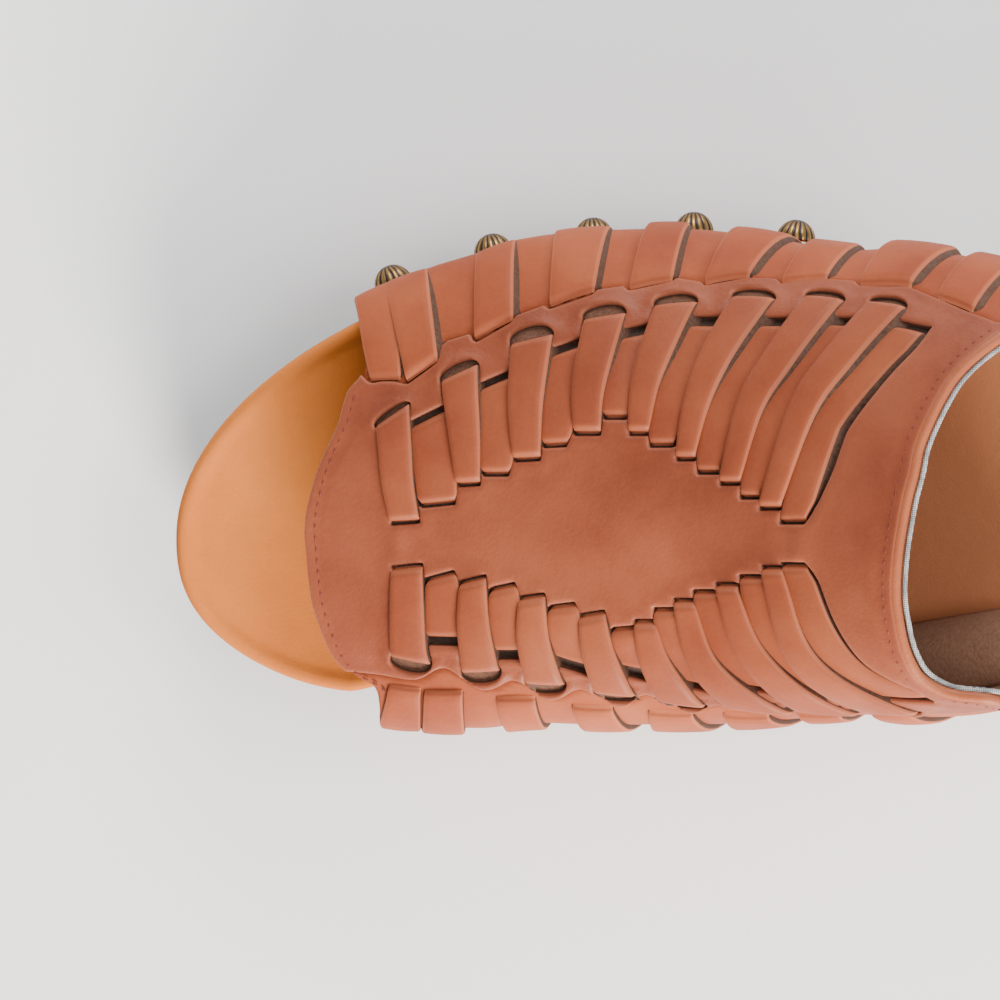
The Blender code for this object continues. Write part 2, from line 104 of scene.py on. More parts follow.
# Shoe frame (x back from the toe tip) to row frame
SHIFT = np.array([-0.1225, 0.00006, 0.0])

# Upper's sections: x as a share of LENGTH, crest as a share of INSTEP_HEIGHT
CRESTS = np.array([(0.08, 0.42), (0.25, 0.60), (0.41, 0.81), (0.60, 1.00), (0.80, 1.04)])
# Lateral and medial bulge as shares of UPPER_BULGE, a little flatter at the waist than the CAD's, as pictured
BULGES = np.array([
    (0.08, 0.90, 0.90),
    (0.25, 1.00, 1.00),
    (0.29, 1.36, 0.62),
    (0.34, 1.30, 0.85),
    (0.41, 1.08, 1.10),
    (0.47, 0.78, 1.05),
    (0.52, 0.62, 1.22),
    (0.56, 0.82, 1.65),
    (0.60, 1.70, 2.50),
    (0.66, 2.00, 3.00),
    (0.80, 0.90, 0.90),
])
# Rear edge of the upper's sides: level, share of WING_LENGTH behind the throat
LATERAL_WING = ((0, 0), (0.21, 0.09), (0.33, 0.17), (0.52, 0.36), (1.0, 0.69), (2.0, 0.93), (3.0, 1.0))
MEDIAL_WING = ((0, 0), (0.30, 0.02), (0.52, 0.09), (0.63, 0.28), (1.0, 0.66), (2.0, 0.93), (3.0, 1.0))

# Camera, fitted to the photograph: place, aim and turn, in metres and radians; focal length in pixels
CAMERA_PLACE = np.array([-0.0013, 0.1130, 1.0000])
CAMERA_AIM = np.array([-0.0565, -0.0041, 0.0400])
CAMERA_ROLL = 0.030
FOCAL_PIXELS = 4875.0
FRAME_PIXELS = 1000.0


# Curves and surfaces, on numpy arrays


def smooth(value, start, end):
    share = np.clip((value - start) / (end - start), 0.0, 1.0)
    return share * share * (3 - 2 * share)


def unit(vectors):
    return vectors / np.linalg.norm(vectors, axis=-1, keepdims=True)


def run_along(path):
    """Length of a path up to each of its points."""
    return np.concatenate([[0], np.cumsum(np.linalg.norm(np.diff(path, axis=0), axis=1))])


def quarter_round(share):
    """Height of a quarter circle over a share from 0 to 1."""
    return np.sqrt(np.maximum(0, 1 - (1 - np.clip(share, 0, 1)) ** 2))


def through(rows, value):
    """Smooth curve through (place, height) rows."""
    rows = np.asarray(rows, float)
    places, heights = rows[:, 0], rows[:, 1]
    last = len(places) - 1
    low, high = np.maximum(np.arange(last + 1) - 1, 0), np.minimum(np.arange(last + 1) + 1, last)
    slopes = (heights[high] - heights[low]) / (places[high] - places[low])
    value = np.clip(value, places[0], places[-1])
    i = np.clip(np.searchsorted(places, value, side="right") - 1, 0, last - 1)
    width = places[i + 1] - places[i]
    s = (value - places[i]) / width
    return (
        (1 + 2 * s) * (1 - s) ** 2 * heights[i]
        + s * (1 - s) ** 2 * width * slopes[i]
        + s * s * (3 - 2 * s) * heights[i + 1]
        - s * s * (1 - s) * width * slopes[i + 1]
    )


def outline(x, side):
    """Y of the platform's top edge, in the shoe frame."""
    x = np.clip(x, 0.0, LENGTH)
    toe = (1 - (1 - np.minimum(x / TOE_REACH, 1)) ** TOE_FULLNESS) ** TOE_ROUNDNESS
    back = smooth(x, BALL_REAR, SEAT_FRONT)
    half = BALL_WIDTH / 2 * toe * (1 - back) + HEEL_WIDTH / 2 * back
    rounding = np.maximum(0.0, (x - LENGTH + HEEL_ROUND) / HEEL_ROUND)
    half = half * (1 - rounding**HEEL_SQUARENESS) ** (1 / HEEL_SQUARENESS)
    middle = -TOE_OFFSET * np.maximum(0.0, 1 - x / TOE_SWING) ** 2
    arch = smooth(x, BALL_REAR, ARCH_DEEPEST) * (1 - smooth(x, ARCH_DEEPEST, ARCH_END))
    return middle + side * (half - np.where(side < 0, ARCH_INSET * arch, 0.0))


def station(share):
    return LENGTH * (1 - np.cos(np.pi * share)) / 2


def share_at(x):
    return np.arccos(1 - 2 * x / LENGTH) / np.pi


def edge(share, side, inset):
    """Point of the outline, moved inwards square to it."""
    step = 1e-4
    ahead, behind = station(np.minimum(share + step, 1.0)), station(np.maximum(share - step, 0.0))
    x = station(share)
    along_x, along_y = ahead - behind, outline(ahead, side) - outline(behind, side)
    size = np.hypot(along_x, along_y)
    fuller = TOE_FILL * smooth(x, 0.0, 0.030) * (1 - smooth(x, 0.033, 0.042)) * (side < 0)
    inset = inset - fuller
    return x + side * inset * along_y / size, outline(x, side) - side * inset * along_x / size


def platform_top(x):
    lift = TOE_LIFT * np.maximum(0.0, 1 - x / TOE_BEND) ** 2
    return PLATFORM_HEIGHT + lift + (HEEL_HEIGHT - PLATFORM_HEIGHT) * smooth(x, RISE_START, RISE_END)


def platform_underside(x):
    sole = OUTSOLE_THICKNESS + CLEARANCE
    spring = TOE_SPRING * np.maximum(0.0, 1 - x / TOE_BEND) ** 2
    thickness = PLATFORM_HEIGHT - sole
    thickness = thickness + (WAIST_THICKNESS - thickness) * smooth(x, WAIST_START, WAIST_END)
    return np.where(x < TOE_BEND, sole + spring, platform_top(x) - thickness)


def footbed(x):
    return platform_top(x) + CLEARANCE + INSOLE_THICKNESS


def side_slant(x, side):
    step = 0.0005
    slope = (outline(x + step, side) - outline(x - step, side)) / (2 * step)
    return np.sqrt(1 + slope * slope)


def bulge_share(x, column):
    return through(BULGES[:, (0, column)], x / LENGTH)


def surface(x, s):
    """Point of the upper's outer face in the row frame. s is the level down the section: 0 on the crest,
    1 on the widest line, 2 on the footbed's rim and 3 on the lasted edge, negative on the medial side."""
    x, s = np.broadcast_arrays(np.asarray(x, float), np.asarray(s, float))
    side = np.where(s < 0, -1.0, 1.0)
    level = np.abs(s)
    crest = through(CRESTS, x / LENGTH) * INSTEP_HEIGHT
    slant = side_slant(x, side)
    bulge = np.where(side > 0, bulge_share(x, 1), bulge_share(x, 2)) * UPPER_BULGE
    power = np.where(side > 0, LATERAL_POWER, MEDIAL_POWER)
    span = side * outline(x, side) + (LASTING_CLEARANCE + UPPER_WALL + bulge) * slant + side * CREST_OFFSET
    rise = WIDEST_RISE + (WING_RISE - WIDEST_RISE) * smooth(x, VAMP_FRONT + VAMP_LENGTH / 2, RISE_END)
    rim = footbed(x)
    turn = np.minimum(level, 1.0) * np.pi / 2
    sine, cosine = np.sin(turn), np.maximum(np.cos(turn), 0.0)
    radius = (sine**power + cosine**power) ** (-1 / power)
    across, height = span * radius * sine, rim + rise + (crest - rise) * radius * cosine
    share = np.clip(level - 1, 0.0, 1.0)
    middle = span - bulge * slant * np.sin(share * np.pi / 2) ** 2
    drop = (rim - platform_top(x) + LASTING_MARGIN) * np.maximum(level - 2, 0.0)
    below_top = np.maximum(0.0, drop - (rim - platform_top(x)))
    across = np.where(level <= 1, across, middle - below_top * SIDE_TAPER)
    height = np.where(level <= 1, height, rim + rise * (1 - share) - drop)
    return np.stack([x, side * across - CREST_OFFSET, height], axis=-1) + SHIFT


def normal(x, s):
    step, level_step = 0.0015, 0.012
    x, s = np.broadcast_arrays(np.asarray(x, float), np.asarray(s, float))
    low, high = np.maximum(s - level_step, -3.0), np.minimum(s + level_step, 3.0)
    across = surface(x, high) - surface(x, low)
    along = surface(x + step, s) - surface(x - step, s)
    return unit(np.cross(along, across))


# Unrolled upper: x, and the arc's length a down from the crest, negative on the medial side

GRID_X = np.linspace(0.010, 0.215, 411)
GRID_LEVEL = np.linspace(0.0, 3.0, 301)
GRID_ARC = np.linspace(0.0, 0.115, 461)


def arc_table(side):
    points = surface(GRID_X[:, None], side * np.maximum(GRID_LEVEL[None, :], 1e-6))
    steps = np.linalg.norm(np.diff(points, axis=1), axis=-1)
    return np.concatenate([np.zeros((len(GRID_X), 1)), np.cumsum(steps, axis=1)], axis=1)


ARCS = {side: arc_table(side) for side in (1, -1)}
LEVELS = {side: np.array([np.interp(GRID_ARC, row, GRID_LEVEL) for row in ARCS[side]]) for side in (1, -1)}


def look_up(table, columns, x, value):
    """Bilinear value of a table over GRID_X and evenly spaced columns."""
    i = np.clip((x - GRID_X[0]) / (GRID_X[1] - GRID_X[0]), 0, len(GRID_X) - 1.001)
    j = np.clip((value - columns[0]) / (columns[1] - columns[0]), 0, len(columns) - 1.001)
    i0, j0 = i.astype(int), j.astype(int)
    fi, fj = i - i0, j - j0
    return (
        table[i0, j0] * (1 - fi) * (1 - fj)
        + table[i0 + 1, j0] * fi * (1 - fj)
        + table[i0, j0 + 1] * (1 - fi) * fj
        + table[i0 + 1, j0 + 1] * fi * fj
    )


def signed_look_up(tables, columns, x, value):
    """Value of the lateral table, or for values below zero the medial table's, made negative."""
    x, value = np.broadcast_arrays(np.asarray(x, float), np.asarray(value, float))
    lateral, medial = (look_up(tables[side], columns, x, np.abs(value)) for side in (1, -1))
    return np.where(value < 0, -medial, lateral)


def level_at(x, a):
    return signed_look_up(LEVELS, GRID_ARC, x, a)


def arc_at(x, s):
    return signed_look_up(ARCS, GRID_LEVEL, x, s)


def lifted(plan, rise):
    """Points over the unrolled plan (x, a), raised square to the upper's face."""
    plan = np.asarray(plan, float)
    x = plan[..., 0]
    s = level_at(x, plan[..., 1])
    return surface(x, s) + normal(x, s) * np.asarray(rise, float)[..., None]


# Photograph's pixels to the unrolled plan


def camera_axes():
    back = unit(CAMERA_PLACE - CAMERA_AIM)
    right = unit(np.cross(np.array([math.sin(CAMERA_ROLL), math.cos(CAMERA_ROLL), 0.0]), back))
    return right, np.cross(back, right), back


def project(points):
    right, up, back = camera_axes()
    away = points - CAMERA_PLACE
    depth = -(away @ back)
    return np.stack([
        FRAME_PIXELS / 2 + FOCAL_PIXELS * (away @ right) / depth,
        FRAME_PIXELS / 2 - FOCAL_PIXELS * (away @ up) / depth,
    ], axis=-1)


def search_tree(places):
    tree = KDTree(len(places))
    for number, (x, y) in enumerate(places):
        tree.insert((x, y, 0.0), number)
    tree.balance()
    return tree


# Places on the upper that the camera sees, from which the search for a pixel's place starts
SIGHT_RISE = 0.0008
SIGHT_X, SIGHT_S = np.meshgrid(np.linspace(0.018, 0.190, 173), np.linspace(-1.6, 1.6, 321), indexing="ij")
SIGHT_POINTS = surface(SIGHT_X, SIGHT_S)
SIGHT_SEEN = ((CAMERA_PLACE - SIGHT_POINTS) * normal(SIGHT_X, SIGHT_S)).sum(axis=-1) > 0.02
SIGHT_STARTS = np.stack([SIGHT_X[SIGHT_SEEN], SIGHT_S[SIGHT_SEEN]], axis=1)
SIGHT_TREE = search_tree(project(SIGHT_POINTS)[SIGHT_SEEN])


def seen_at(pixels):
    """Unrolled plan (x, a) under pixels of the photograph."""
    pixels = np.asarray(pixels, float).reshape(-1, 2)
    x, s = SIGHT_STARTS[[SIGHT_TREE.find((u, v, 0.0))[1] for u, v in pixels]].T.copy()
    step_x, step_s = 0.0004, 0.004
    for _ in range(7):
        here, ahead, below = (project(surface(a, b) + normal(a, b) * SIGHT_RISE)
                              for a, b in ((x, s), (x + step_x, s), (x, s + step_s)))
        along_x, along_s, miss = (ahead - here) / step_x, (below - here) / step_s, pixels - here
        area = along_x[:, 0] * along_s[:, 1] - along_x[:, 1] * along_s[:, 0]
        area = np.where(np.abs(area) < 1e4, np.inf, area)
        x = x + np.clip((miss[:, 0] * along_s[:, 1] - miss[:, 1] * along_s[:, 0]) / area, -0.003, 0.003)
        s = s + np.clip((along_x[:, 0] * miss[:, 1] - along_x[:, 1] * miss[:, 0]) / area, -0.04, 0.04)
    return np.stack([x, arc_at(x, s)], axis=1)


# Mesh helpers


def set_attribute(made, name, values):
    attribute = made.data.attributes.new(name, "FLOAT", "POINT")
    attribute.data.foreach_set("value", np.asarray(values, np.float32))


def make_mesh(name, points, faces, materials, slots=None, wear_and_painted_light=None):
    """Smoothly shaded object, with a material slot for each face and a share of wear and painted light for each point
    where they are given.
    """
    mesh = bpy.data.meshes.new(name)
    mesh.from_pydata([tuple(point) for point in points], [], [tuple(int(k) for k in face) for face in faces])
    made = bpy.data.objects.new(name, mesh)
    bpy.context.scene.collection.objects.link(made)
    for each in materials:
        mesh.materials.append(each)
    if slots is not None:
        mesh.polygons.foreach_set("material_index", np.asarray(slots, np.int32))
    mesh.shade_smooth()
    mesh.update()
    if wear_and_painted_light is not None:
        set_attribute(made, "wear_and_painted_light", np.broadcast_to(wear_and_painted_light, len(points)))
    return made


def make_joined(name, parts, materials):
    """One object from parts of (points, faces, slots, share of wear and painted light)."""
    faces, start = [], 0
    for points, part_faces, _, _ in parts:
        faces += [tuple(k + start for k in face) for face in part_faces]
        start += len(points)
    points, _, slots, wear_and_painted_light = zip(*parts)
    return make_mesh(name, np.concatenate(points), faces, materials, sum(slots, []), np.concatenate(wear_and_painted_light))


def grid_faces(rows, columns, wrap=False):
    faces = []
    for row in range(0, (rows - 1) * columns, columns):
        for j in range(columns if wrap else columns - 1):
            k = (j + 1) % columns
            faces.append((row + j, row + k, row + columns + k, row + columns + j))
    return faces


def end_caps(rows, columns):
    """Faces that close a grid's first and last row."""
    return [tuple(range(columns)), tuple(reversed(range((rows - 1) * columns, rows * columns)))]


def closed_sheet(outer, inner):
    """Points and faces of the sheet between two grids of points, with the outer grid's faces first."""
    rows, columns = outer.shape[:2]
    count = rows * columns
    faces = grid_faces(rows, columns)
    faces += [tuple(k + count for k in reversed(face)) for face in faces]
    place = np.arange(count).reshape(rows, columns)
    loop = [*place[0], *place[1:, -1], *place[-1, -2::-1], *place[-2:0:-1, 0]]
    faces += [(b, a, a + count, b + count) for a, b in zip(loop, loop[1:] + loop[:1])]
    return np.concatenate([outer.reshape(-1, 3), inner.reshape(-1, 3)]), faces


def tube_part(centres, left, up, radius, sides):
    """Points and faces of a closed tube whose rings are spanned by the directions left and up."""
    turn = np.linspace(0, 2 * np.pi, sides, endpoint=False)[:, None]
    ring = left[..., None, :] * np.cos(turn) + up[..., None, :] * np.sin(turn)
    points = centres[:, None, :] + ring * np.reshape(radius, (-1, 1, 1))
    return points.reshape(-1, 3), grid_faces(len(centres), sides, wrap=True) + end_caps(len(centres), sides)


def spline(points, spacing):
    """Catmull-Rom curve through points, resampled at an even spacing."""
    padded = np.concatenate([[2 * points[0] - points[1]], points, [2 * points[-1] - points[-2]]])
    t = np.linspace(0, 1, 40)[:, None]
    parts = [0.5 * (2 * b + (c - a) * t + (2 * a - 5 * b + 4 * c - d) * t**2 + (3 * b - a - 3 * c + d) * t**3)
             for a, b, c, d in zip(padded, padded[1:], padded[2:], padded[3:])]
    return resample(np.concatenate(parts), spacing)


def resample(points, spacing):
    lengths = run_along(points)
    at = np.linspace(0, lengths[-1], max(2, int(round(lengths[-1] / spacing)) + 1))
    return np.stack([np.interp(at, lengths, points[:, k]) for k in range(points.shape[1])], axis=1)


def sideways(path):
    """Unit direction to the left of a plan path, at each of its points."""
    along = unit(np.gradient(path, axis=0))
    return np.stack([-along[:, 1], along[:, 0]], axis=1)


def inside(points, polygon):
    """Which plan points lie inside a closed polygon."""
    x, y = points[:, 0], points[:, 1]
    result = np.zeros(len(points), bool)
    ends = np.roll(polygon, -1, axis=0)
    for (x0, y0), (x1, y1) in zip(polygon, ends):
        if y0 == y1:
            continue
        result ^= ((y0 > y) != (y1 > y)) & (x < (x1 - x0) * (y - y0) / (y1 - y0) + x0)
    return result


def distance_to(points, loops):
    """Distance from plan points to the nearest place on closed loops."""
    tree = search_tree(np.concatenate([resample(np.concatenate([loop, loop[:1]]), 0.00005) for loop in loops]))
    return np.array([tree.find((x, y, 0.0))[2] for x, y in points])


# Materials. A colour is given as (red, green, blue) from 0 to 255.


def linear(colour):
    shares = [channel / 255 for channel in colour]
    return (*(c / 12.92 if c <= 0.04045 else ((c + 0.055) / 1.055) ** 2.4 for c in shares), 1.0)


class Nodes:
    """Short hand for building one material's node tree."""

    def __init__(self, name):
        self.material = bpy.data.materials.new(name)
        self.material.use_nodes = True
        self.tree = self.material.node_tree
        self.shader = self.tree.nodes["Principled BSDF"]
        self.place = self.add("ShaderNodeTexCoord")["Object"]

    def feed(self, socket, value):
        """Link an input to an output, or set it to a colour or a number."""
        if isinstance(value, bpy.types.NodeSocket):
            self.tree.links.new(value, socket)
        else:
            socket.default_value = linear(value) if socket.type == "RGBA" else value

    def add(self, kind, inputs=None, **settings):
        """Outputs of a new node with these settings and inputs."""
        node = self.tree.nodes.new(kind)
        for key, value in settings.items():
            setattr(node, key, value)
        for key, value in (inputs or {}).items():
            self.feed(node.inputs[key], value)
        return node.outputs

    def noise(self, scale, detail=4.0, roughness=0.55, stretch=(1, 1, 1)):
        place = self.add("ShaderNodeMapping", {"Vector": self.place, "Scale": stretch})["Vector"]
        inputs = {"Vector": place, "Scale": scale, "Detail": detail, "Roughness": roughness}
        return self.add("ShaderNodeTexNoise", inputs)["Fac"]

    def ramp(self, source, *stops):
        node = self.tree.nodes.new("ShaderNodeValToRGB")
        elements = node.color_ramp.elements
        elements.remove(elements[0])
        elements[0].position = stops[0][0]
        for position, _ in stops[1:]:
            elements.new(position)
        for element, (_, colour) in zip(elements, stops):
            element.color = linear(colour)
        self.feed(node.inputs["Fac"], source)
        return node.outputs["Color"]

    def range(self, source, low, high, to_low, to_high):
        inputs = {"Value": source, "From Min": low, "From Max": high, "To Min": to_low, "To Max": to_high}
        return self.add("ShaderNodeMapRange", inputs)["Result"]

    def mix(self, factor, first, second):
        return self.add("ShaderNodeMix", {0: factor, 6: first, 7: second}, data_type="RGBA")[2]

    def attribute(self, name):
        return self.add("ShaderNodeAttribute", attribute_name=name)["Fac"]

    def shaded(self, colour, patches, bumps, others=None):
        """The material. Its roughness varies in patches of (scale, low, high); bumps are (height, depth in metres)."""
        scale, low, high = patches
        roughness, last = self.range(self.noise(scale), 0.3, 0.7, low, high), {}
        for height, depth in bumps:
            inputs = {"Strength": 1.0, "Distance": depth, "Height": height, **last}
            last = {"Normal": self.add("ShaderNodeBump", inputs)["Normal"]}
        for key, value in {"Base Color": colour, "Roughness": roughness, **last, **(others or {})}.items():
            self.feed(self.shader.inputs[key], value)
        return self.material


def leather(name, dark, middle, light, roughness=0.46, grain=0.00006, gloss=0.28):
    """Smooth waxed leather: cloudy colour, fine pores and faint wrinkles, lighter where it is worn and where a painted
    highlight lies along its edges and shoulders.
    """
    nodes = Nodes(name)
    colour = nodes.ramp(nodes.noise(38, 3), (0.30, dark), (0.50, middle), (0.72, light))
    speckle = nodes.range(nodes.noise(900, 3), 0.35, 0.65, 0.0, 1.0)
    colour = nodes.mix(0.10, colour, nodes.ramp(speckle, (0.0, dark), (1.0, light)))
    # Painted highlight and rubbed wear: the colour turns lighter along edges, rounded shoulders and dipping strap
    # ends, as each piece's point attribute gives
    wear_and_painted_light = nodes.range(nodes.attribute("wear_and_painted_light"), 0.0, 1.0, 0.0, 0.55)
    colour = nodes.mix(wear_and_painted_light, colour, [min(255, channel + 24) for channel in light])
    pores = nodes.add("ShaderNodeTexVoronoi", {"Vector": nodes.place, "Scale": 1500})["Distance"]
    bumps = (pores, grain * 0.8), (nodes.noise(420, 5, 0.6), grain * 0.7), (nodes.noise(45, 1), 0.00018)
    return nodes.shaded(colour, (120, roughness - 0.06, roughness + 0.08), bumps,
                        {"Specular IOR Level": gloss, "Coat Weight": 0.03, "Coat Roughness": 0.32})


def grainy(name, dark, light, texture=(1100, 5, 0.7, (1, 1, 3)), patches=(300, 0.7, 0.9), depth=0.00018):
    """Matt material of two shades, with the fibres of a cut leather edge unless told otherwise."""
    nodes = Nodes(name)
    grains = nodes.noise(*texture)
    return nodes.shaded(nodes.ramp(grains, (0.3, dark), (0.7, light)), patches, ((grains, depth),))


def nubuck(name, dark, middle, light, painted_light_tone):
    """Brushed footbed leather with a short nap, with painted shade that dulls and darkens it towards the heel, inside
    the shoe.
    """
    nodes = Nodes(name)
    colour = nodes.ramp(nodes.noise(26), (0.30, dark), (0.52, middle), (0.75, light))
    speckle = nodes.noise(1600, 3, 0.7)
    colour = nodes.mix(0.16, colour, nodes.ramp(speckle, (0.35, dark), (0.65, light)))
    # Painted shade: mixes towards a duller, darker tone where the point attribute rises
    colour = nodes.mix(nodes.attribute("wear_and_painted_light"), colour, painted_light_tone)
    return nodes.shaded(colour, (200, 0.72, 0.86), ((speckle, 0.00008), (nodes.noise(300), 0.00010)),
                        {"Specular IOR Level": 0.10})


def metal(name, dark, light):
    """Old metal, tarnished in its grooves."""
    nodes = Nodes(name)
    spots = nodes.noise(900)
    colour = nodes.mix(nodes.range(spots, 0.4, 0.7, 0.0, 0.35), light, dark)
    return nodes.shaded(nodes.mix(nodes.attribute("tarnish"), colour, dark), (900, 0.25, 0.45), ((spots, 0.00003),),
                        {"Metallic": 1.0})


def cloth(name, dark, light, scale):
    """Grey woven lining."""
    nodes = Nodes(name)
    waves = []
    for turn in (0.0, math.pi / 2):
        place = nodes.add("ShaderNodeMapping", {"Vector": nodes.place, "Rotation": (0.3, 0.2, turn)})["Vector"]
        waves.append(nodes.add("ShaderNodeTexWave", {"Vector": place, "Scale": scale, "Distortion": 1.5})["Fac"])
    weave = nodes.mix(0.5, *waves)
    colour = nodes.ramp(weave, (0.2, dark), (0.8, light))
    colour = nodes.mix(nodes.range(nodes.noise(300), 0.45, 0.6, 0.0, 0.6), colour, dark)
    return nodes.shaded(colour, (300, 0.85, 0.85), ((weave, 0.00012),))


def stacked_leather(name, dark, middle, light):
    """Brown heel and platform side, in thin level layers."""
    nodes = Nodes(name)
    layers = nodes.noise(260, 3, 0.5, (0.05, 0.05, 1))
    colour = nodes.ramp(layers, (0.35, dark), (0.5, middle), (0.7, light))
    colour = nodes.mix(0.2, colour, nodes.ramp(nodes.noise(90), (0.3, dark), (0.7, light)))
    return nodes.shaded(colour, (150, 0.38, 0.55), ((layers, 0.00010), (nodes.noise(500), 0.00005)))


COGNAC = leather("cognac_leather", (114, 52, 31), (133, 65, 41), (147, 77, 50), 0.50, 0.00005, 0.20)
COGNAC_STRAP = leather("cognac_strap_leather", (124, 57, 34), (140, 69, 42), (154, 82, 52), 0.52, 0.00003, 0.16)
COGNAC_SIDE = leather("cognac_side_leather", (132, 61, 38), (150, 74, 45), (164, 87, 55), 0.62, 0.00004, 0.10)
CUT_EDGE = grainy("cut_leather_edge", (50, 29, 19), (92, 57, 36))
ROLLED = leather("rolled_topline_leather", (132, 62, 33), (150, 77, 43), (166, 92, 54), 0.5)
FLESH = grainy("flesh_side", (112, 80, 60), (146, 106, 82))
HALF_MOON = grainy("half_moon_flesh", (62, 34, 22), (112, 70, 47))
# Painted shadow: dark brown for the bed under the woven straps, seen in the gaps between them
PAINTED_WEAVE_SHADOW = grainy("weave_shadow", (38, 23, 17), (70, 44, 30))
LINING = cloth("grey_lining", (96, 98, 102), (205, 203, 200), 900)
PATCH = cloth("mottled_lining", (78, 82, 92), (208, 208, 206), 240)
NUBUCK = nubuck("tan_nubuck", (184, 98, 38), (196, 110, 45), (207, 122, 54), (180, 118, 84))
STACKED = stacked_leather("stacked_brown", (70, 40, 25), (88, 52, 33), (105, 65, 43))
TREAD = grainy("dark_rubber", (34, 28, 24), (62, 52, 45), (700, 5, 0.65), (120, 0.6, 0.8), 0.00012)
THREAD = leather("tan_thread", (96, 38, 28), (114, 48, 35), (132, 62, 46), 0.6, 0.00002)
BRASS = metal("antique_brass", (30, 34, 46), (158, 122, 66))


# Layout of the weave, read off the photograph in its pixels. Each strap: path from its inner to its outer
# end, width at both ends in metres, slope of both end lines in the picture, and the room beyond its outer end:
# the height of the half-moon for the straps on top, the dark gap for those that pass below. From the toe back.

LATERAL_STRAPS = (
    (((405, 522), (398, 482), (395, 445), (392.5, 415)), 0.0058, 0.0070, -0.07, -0.68, 0.0012),
    (((438, 504), (435, 475), (431.5, 441), (427, 418)), 0.0067, 0.0078, -0.10, -0.50, 0.0010),
    (((468.6, 484), (465.5, 441), (461.5, 400), (459.5, 372.5)), 0.0044, 0.0074, -0.05, -0.46, 0.0018),
    (((495.6, 474), (496.6, 430), (496, 381)), 0.0050, 0.0066, 0, -0.43, 0.0011),
    (((527, 459), (526, 400), (532, 339)), 0.0052, 0.0078, -0.05, -0.24, 0.0026),
    (((555, 445), (559, 400), (563.5, 349.5)), 0.0044, 0.0064, -0.05, -0.36, 0.0013),
    (((587.5, 433), (589, 385), (604.8, 316)), 0.0050, 0.0074, 0, -0.16, 0.0024),
    (((615.5, 417), (619, 381), (631, 334)), 0.0042, 0.0062, 0, -0.22, 0.0017),
    (((638.8, 433), (646, 381), (663, 333), (676, 303.5)), 0.0036, 0.0070, 0, -0.10, 0.0022),
    (((661, 445), (674, 385), (704, 323)), 0.0042, 0.0064, 0, 0, 0.0018),
    (((685.5, 458.5), (697, 405), (716, 357), (754, 297.5)), 0.0034, 0.0066, 0, 0.03, 0.0021),
    (((708, 472), (724, 405), (773, 323)), 0.0040, 0.0062, 0, 0, 0.0018),
    (((730, 483), (752, 405), (781, 357), (825.5, 298.5)), 0.0038, 0.0060, 0, 0.10, 0.0021),
    (((750, 497), (775, 420), (841, 322.5)), 0.0036, 0.0062, 0, 0.05, 0.0018),
    (((770, 508), (805, 408), (840, 358), (888, 304.5)), 0.0038, 0.0058, 0, 0.12, 0.0020),
    (((792, 522), (818, 440), (832, 410), (874, 358), (908, 326)), 0.0045, 0.0044, 0, 0.20, 0.0013),
)
MEDIAL_STRAPS = (
    (((407, 567), (407.3, 604), (408.4, 645), (411, 661)), 0.0062, 0.0074, -0.10, 0.20, 0.0024),
    (((441, 576), (442.3, 605), (443.5, 639)), 0.0052, 0.0064, -0.27, 0.03, 0.0015),
    (((473, 580), (474, 625), (481, 672)), 0.0050, 0.0074, -0.25, -0.05, 0.0025),
    (((503, 587), (505, 625), (510, 653)), 0.0046, 0.0060, -0.22, 0, 0.0016),
    (((532, 597), (534, 640), (545.5, 684)), 0.0050, 0.0074, -0.15, 0.05, 0.0025),
    (((562.5, 606), (565, 636), (573, 664)), 0.0048, 0.0064, -0.13, 0.30, 0.0020),
    (((592, 614.5), (599, 652), (615.5, 694)), 0.0050, 0.0074, -0.17, 0.10, 0.0022),
    (((624, 629), (629, 652), (636, 671)), 0.0042, 0.0060, -0.08, 0.20, 0.0022),
    (((645, 622), (656, 662), (683, 703)), 0.0038, 0.0074, 0, 0.14, 0.0019),
    (((665, 610), (680, 655), (703, 687)), 0.0040, 0.0062, 0, 0.20, 0.0016),
    (((684, 601), (706, 665), (762, 709)), 0.0038, 0.0070, 0, 0.12, 0.0016),
    (((704, 592), (728, 655), (771, 691)), 0.0040, 0.0062, 0, 0.15, 0.0014),
    (((726, 585), (755, 655), (829, 710)), 0.0038, 0.0066, 0, 0.09, 0.0014),
    (((750, 577), (780, 655), (834, 697)), 0.0040, 0.0062, 0, 0.12, 0.0012),
    (((772, 568), (806, 660), (896, 711)), 0.0038, 0.0064, 0, 0.06, 0.0013),
    (((793, 565), (818, 632), (852, 676), (903, 700)), 0.0046, 0.0054, 0, 0.08, 0.0009),
)
# Outer line of the band between the woven straps and the side straps
LATERAL_BAND = ((361, 374), (366, 380), (371, 383), (381, 381), (393, 381), (407, 384), (437, 362), (441, 345),
                (447, 340), (470, 333), (473, 341), (476, 342), (511, 322), (515, 315), (545, 304), (548, 309),
                (592, 294), (596, 289), (624, 285), (628, 290), (671, 281), (676, 277), (701, 281), (704, 285),
                (750, 277), (777, 278), (780, 283), (825, 278), (855, 280), (858, 285), (908, 286), (930, 295),
                (968, 311), (995, 321))
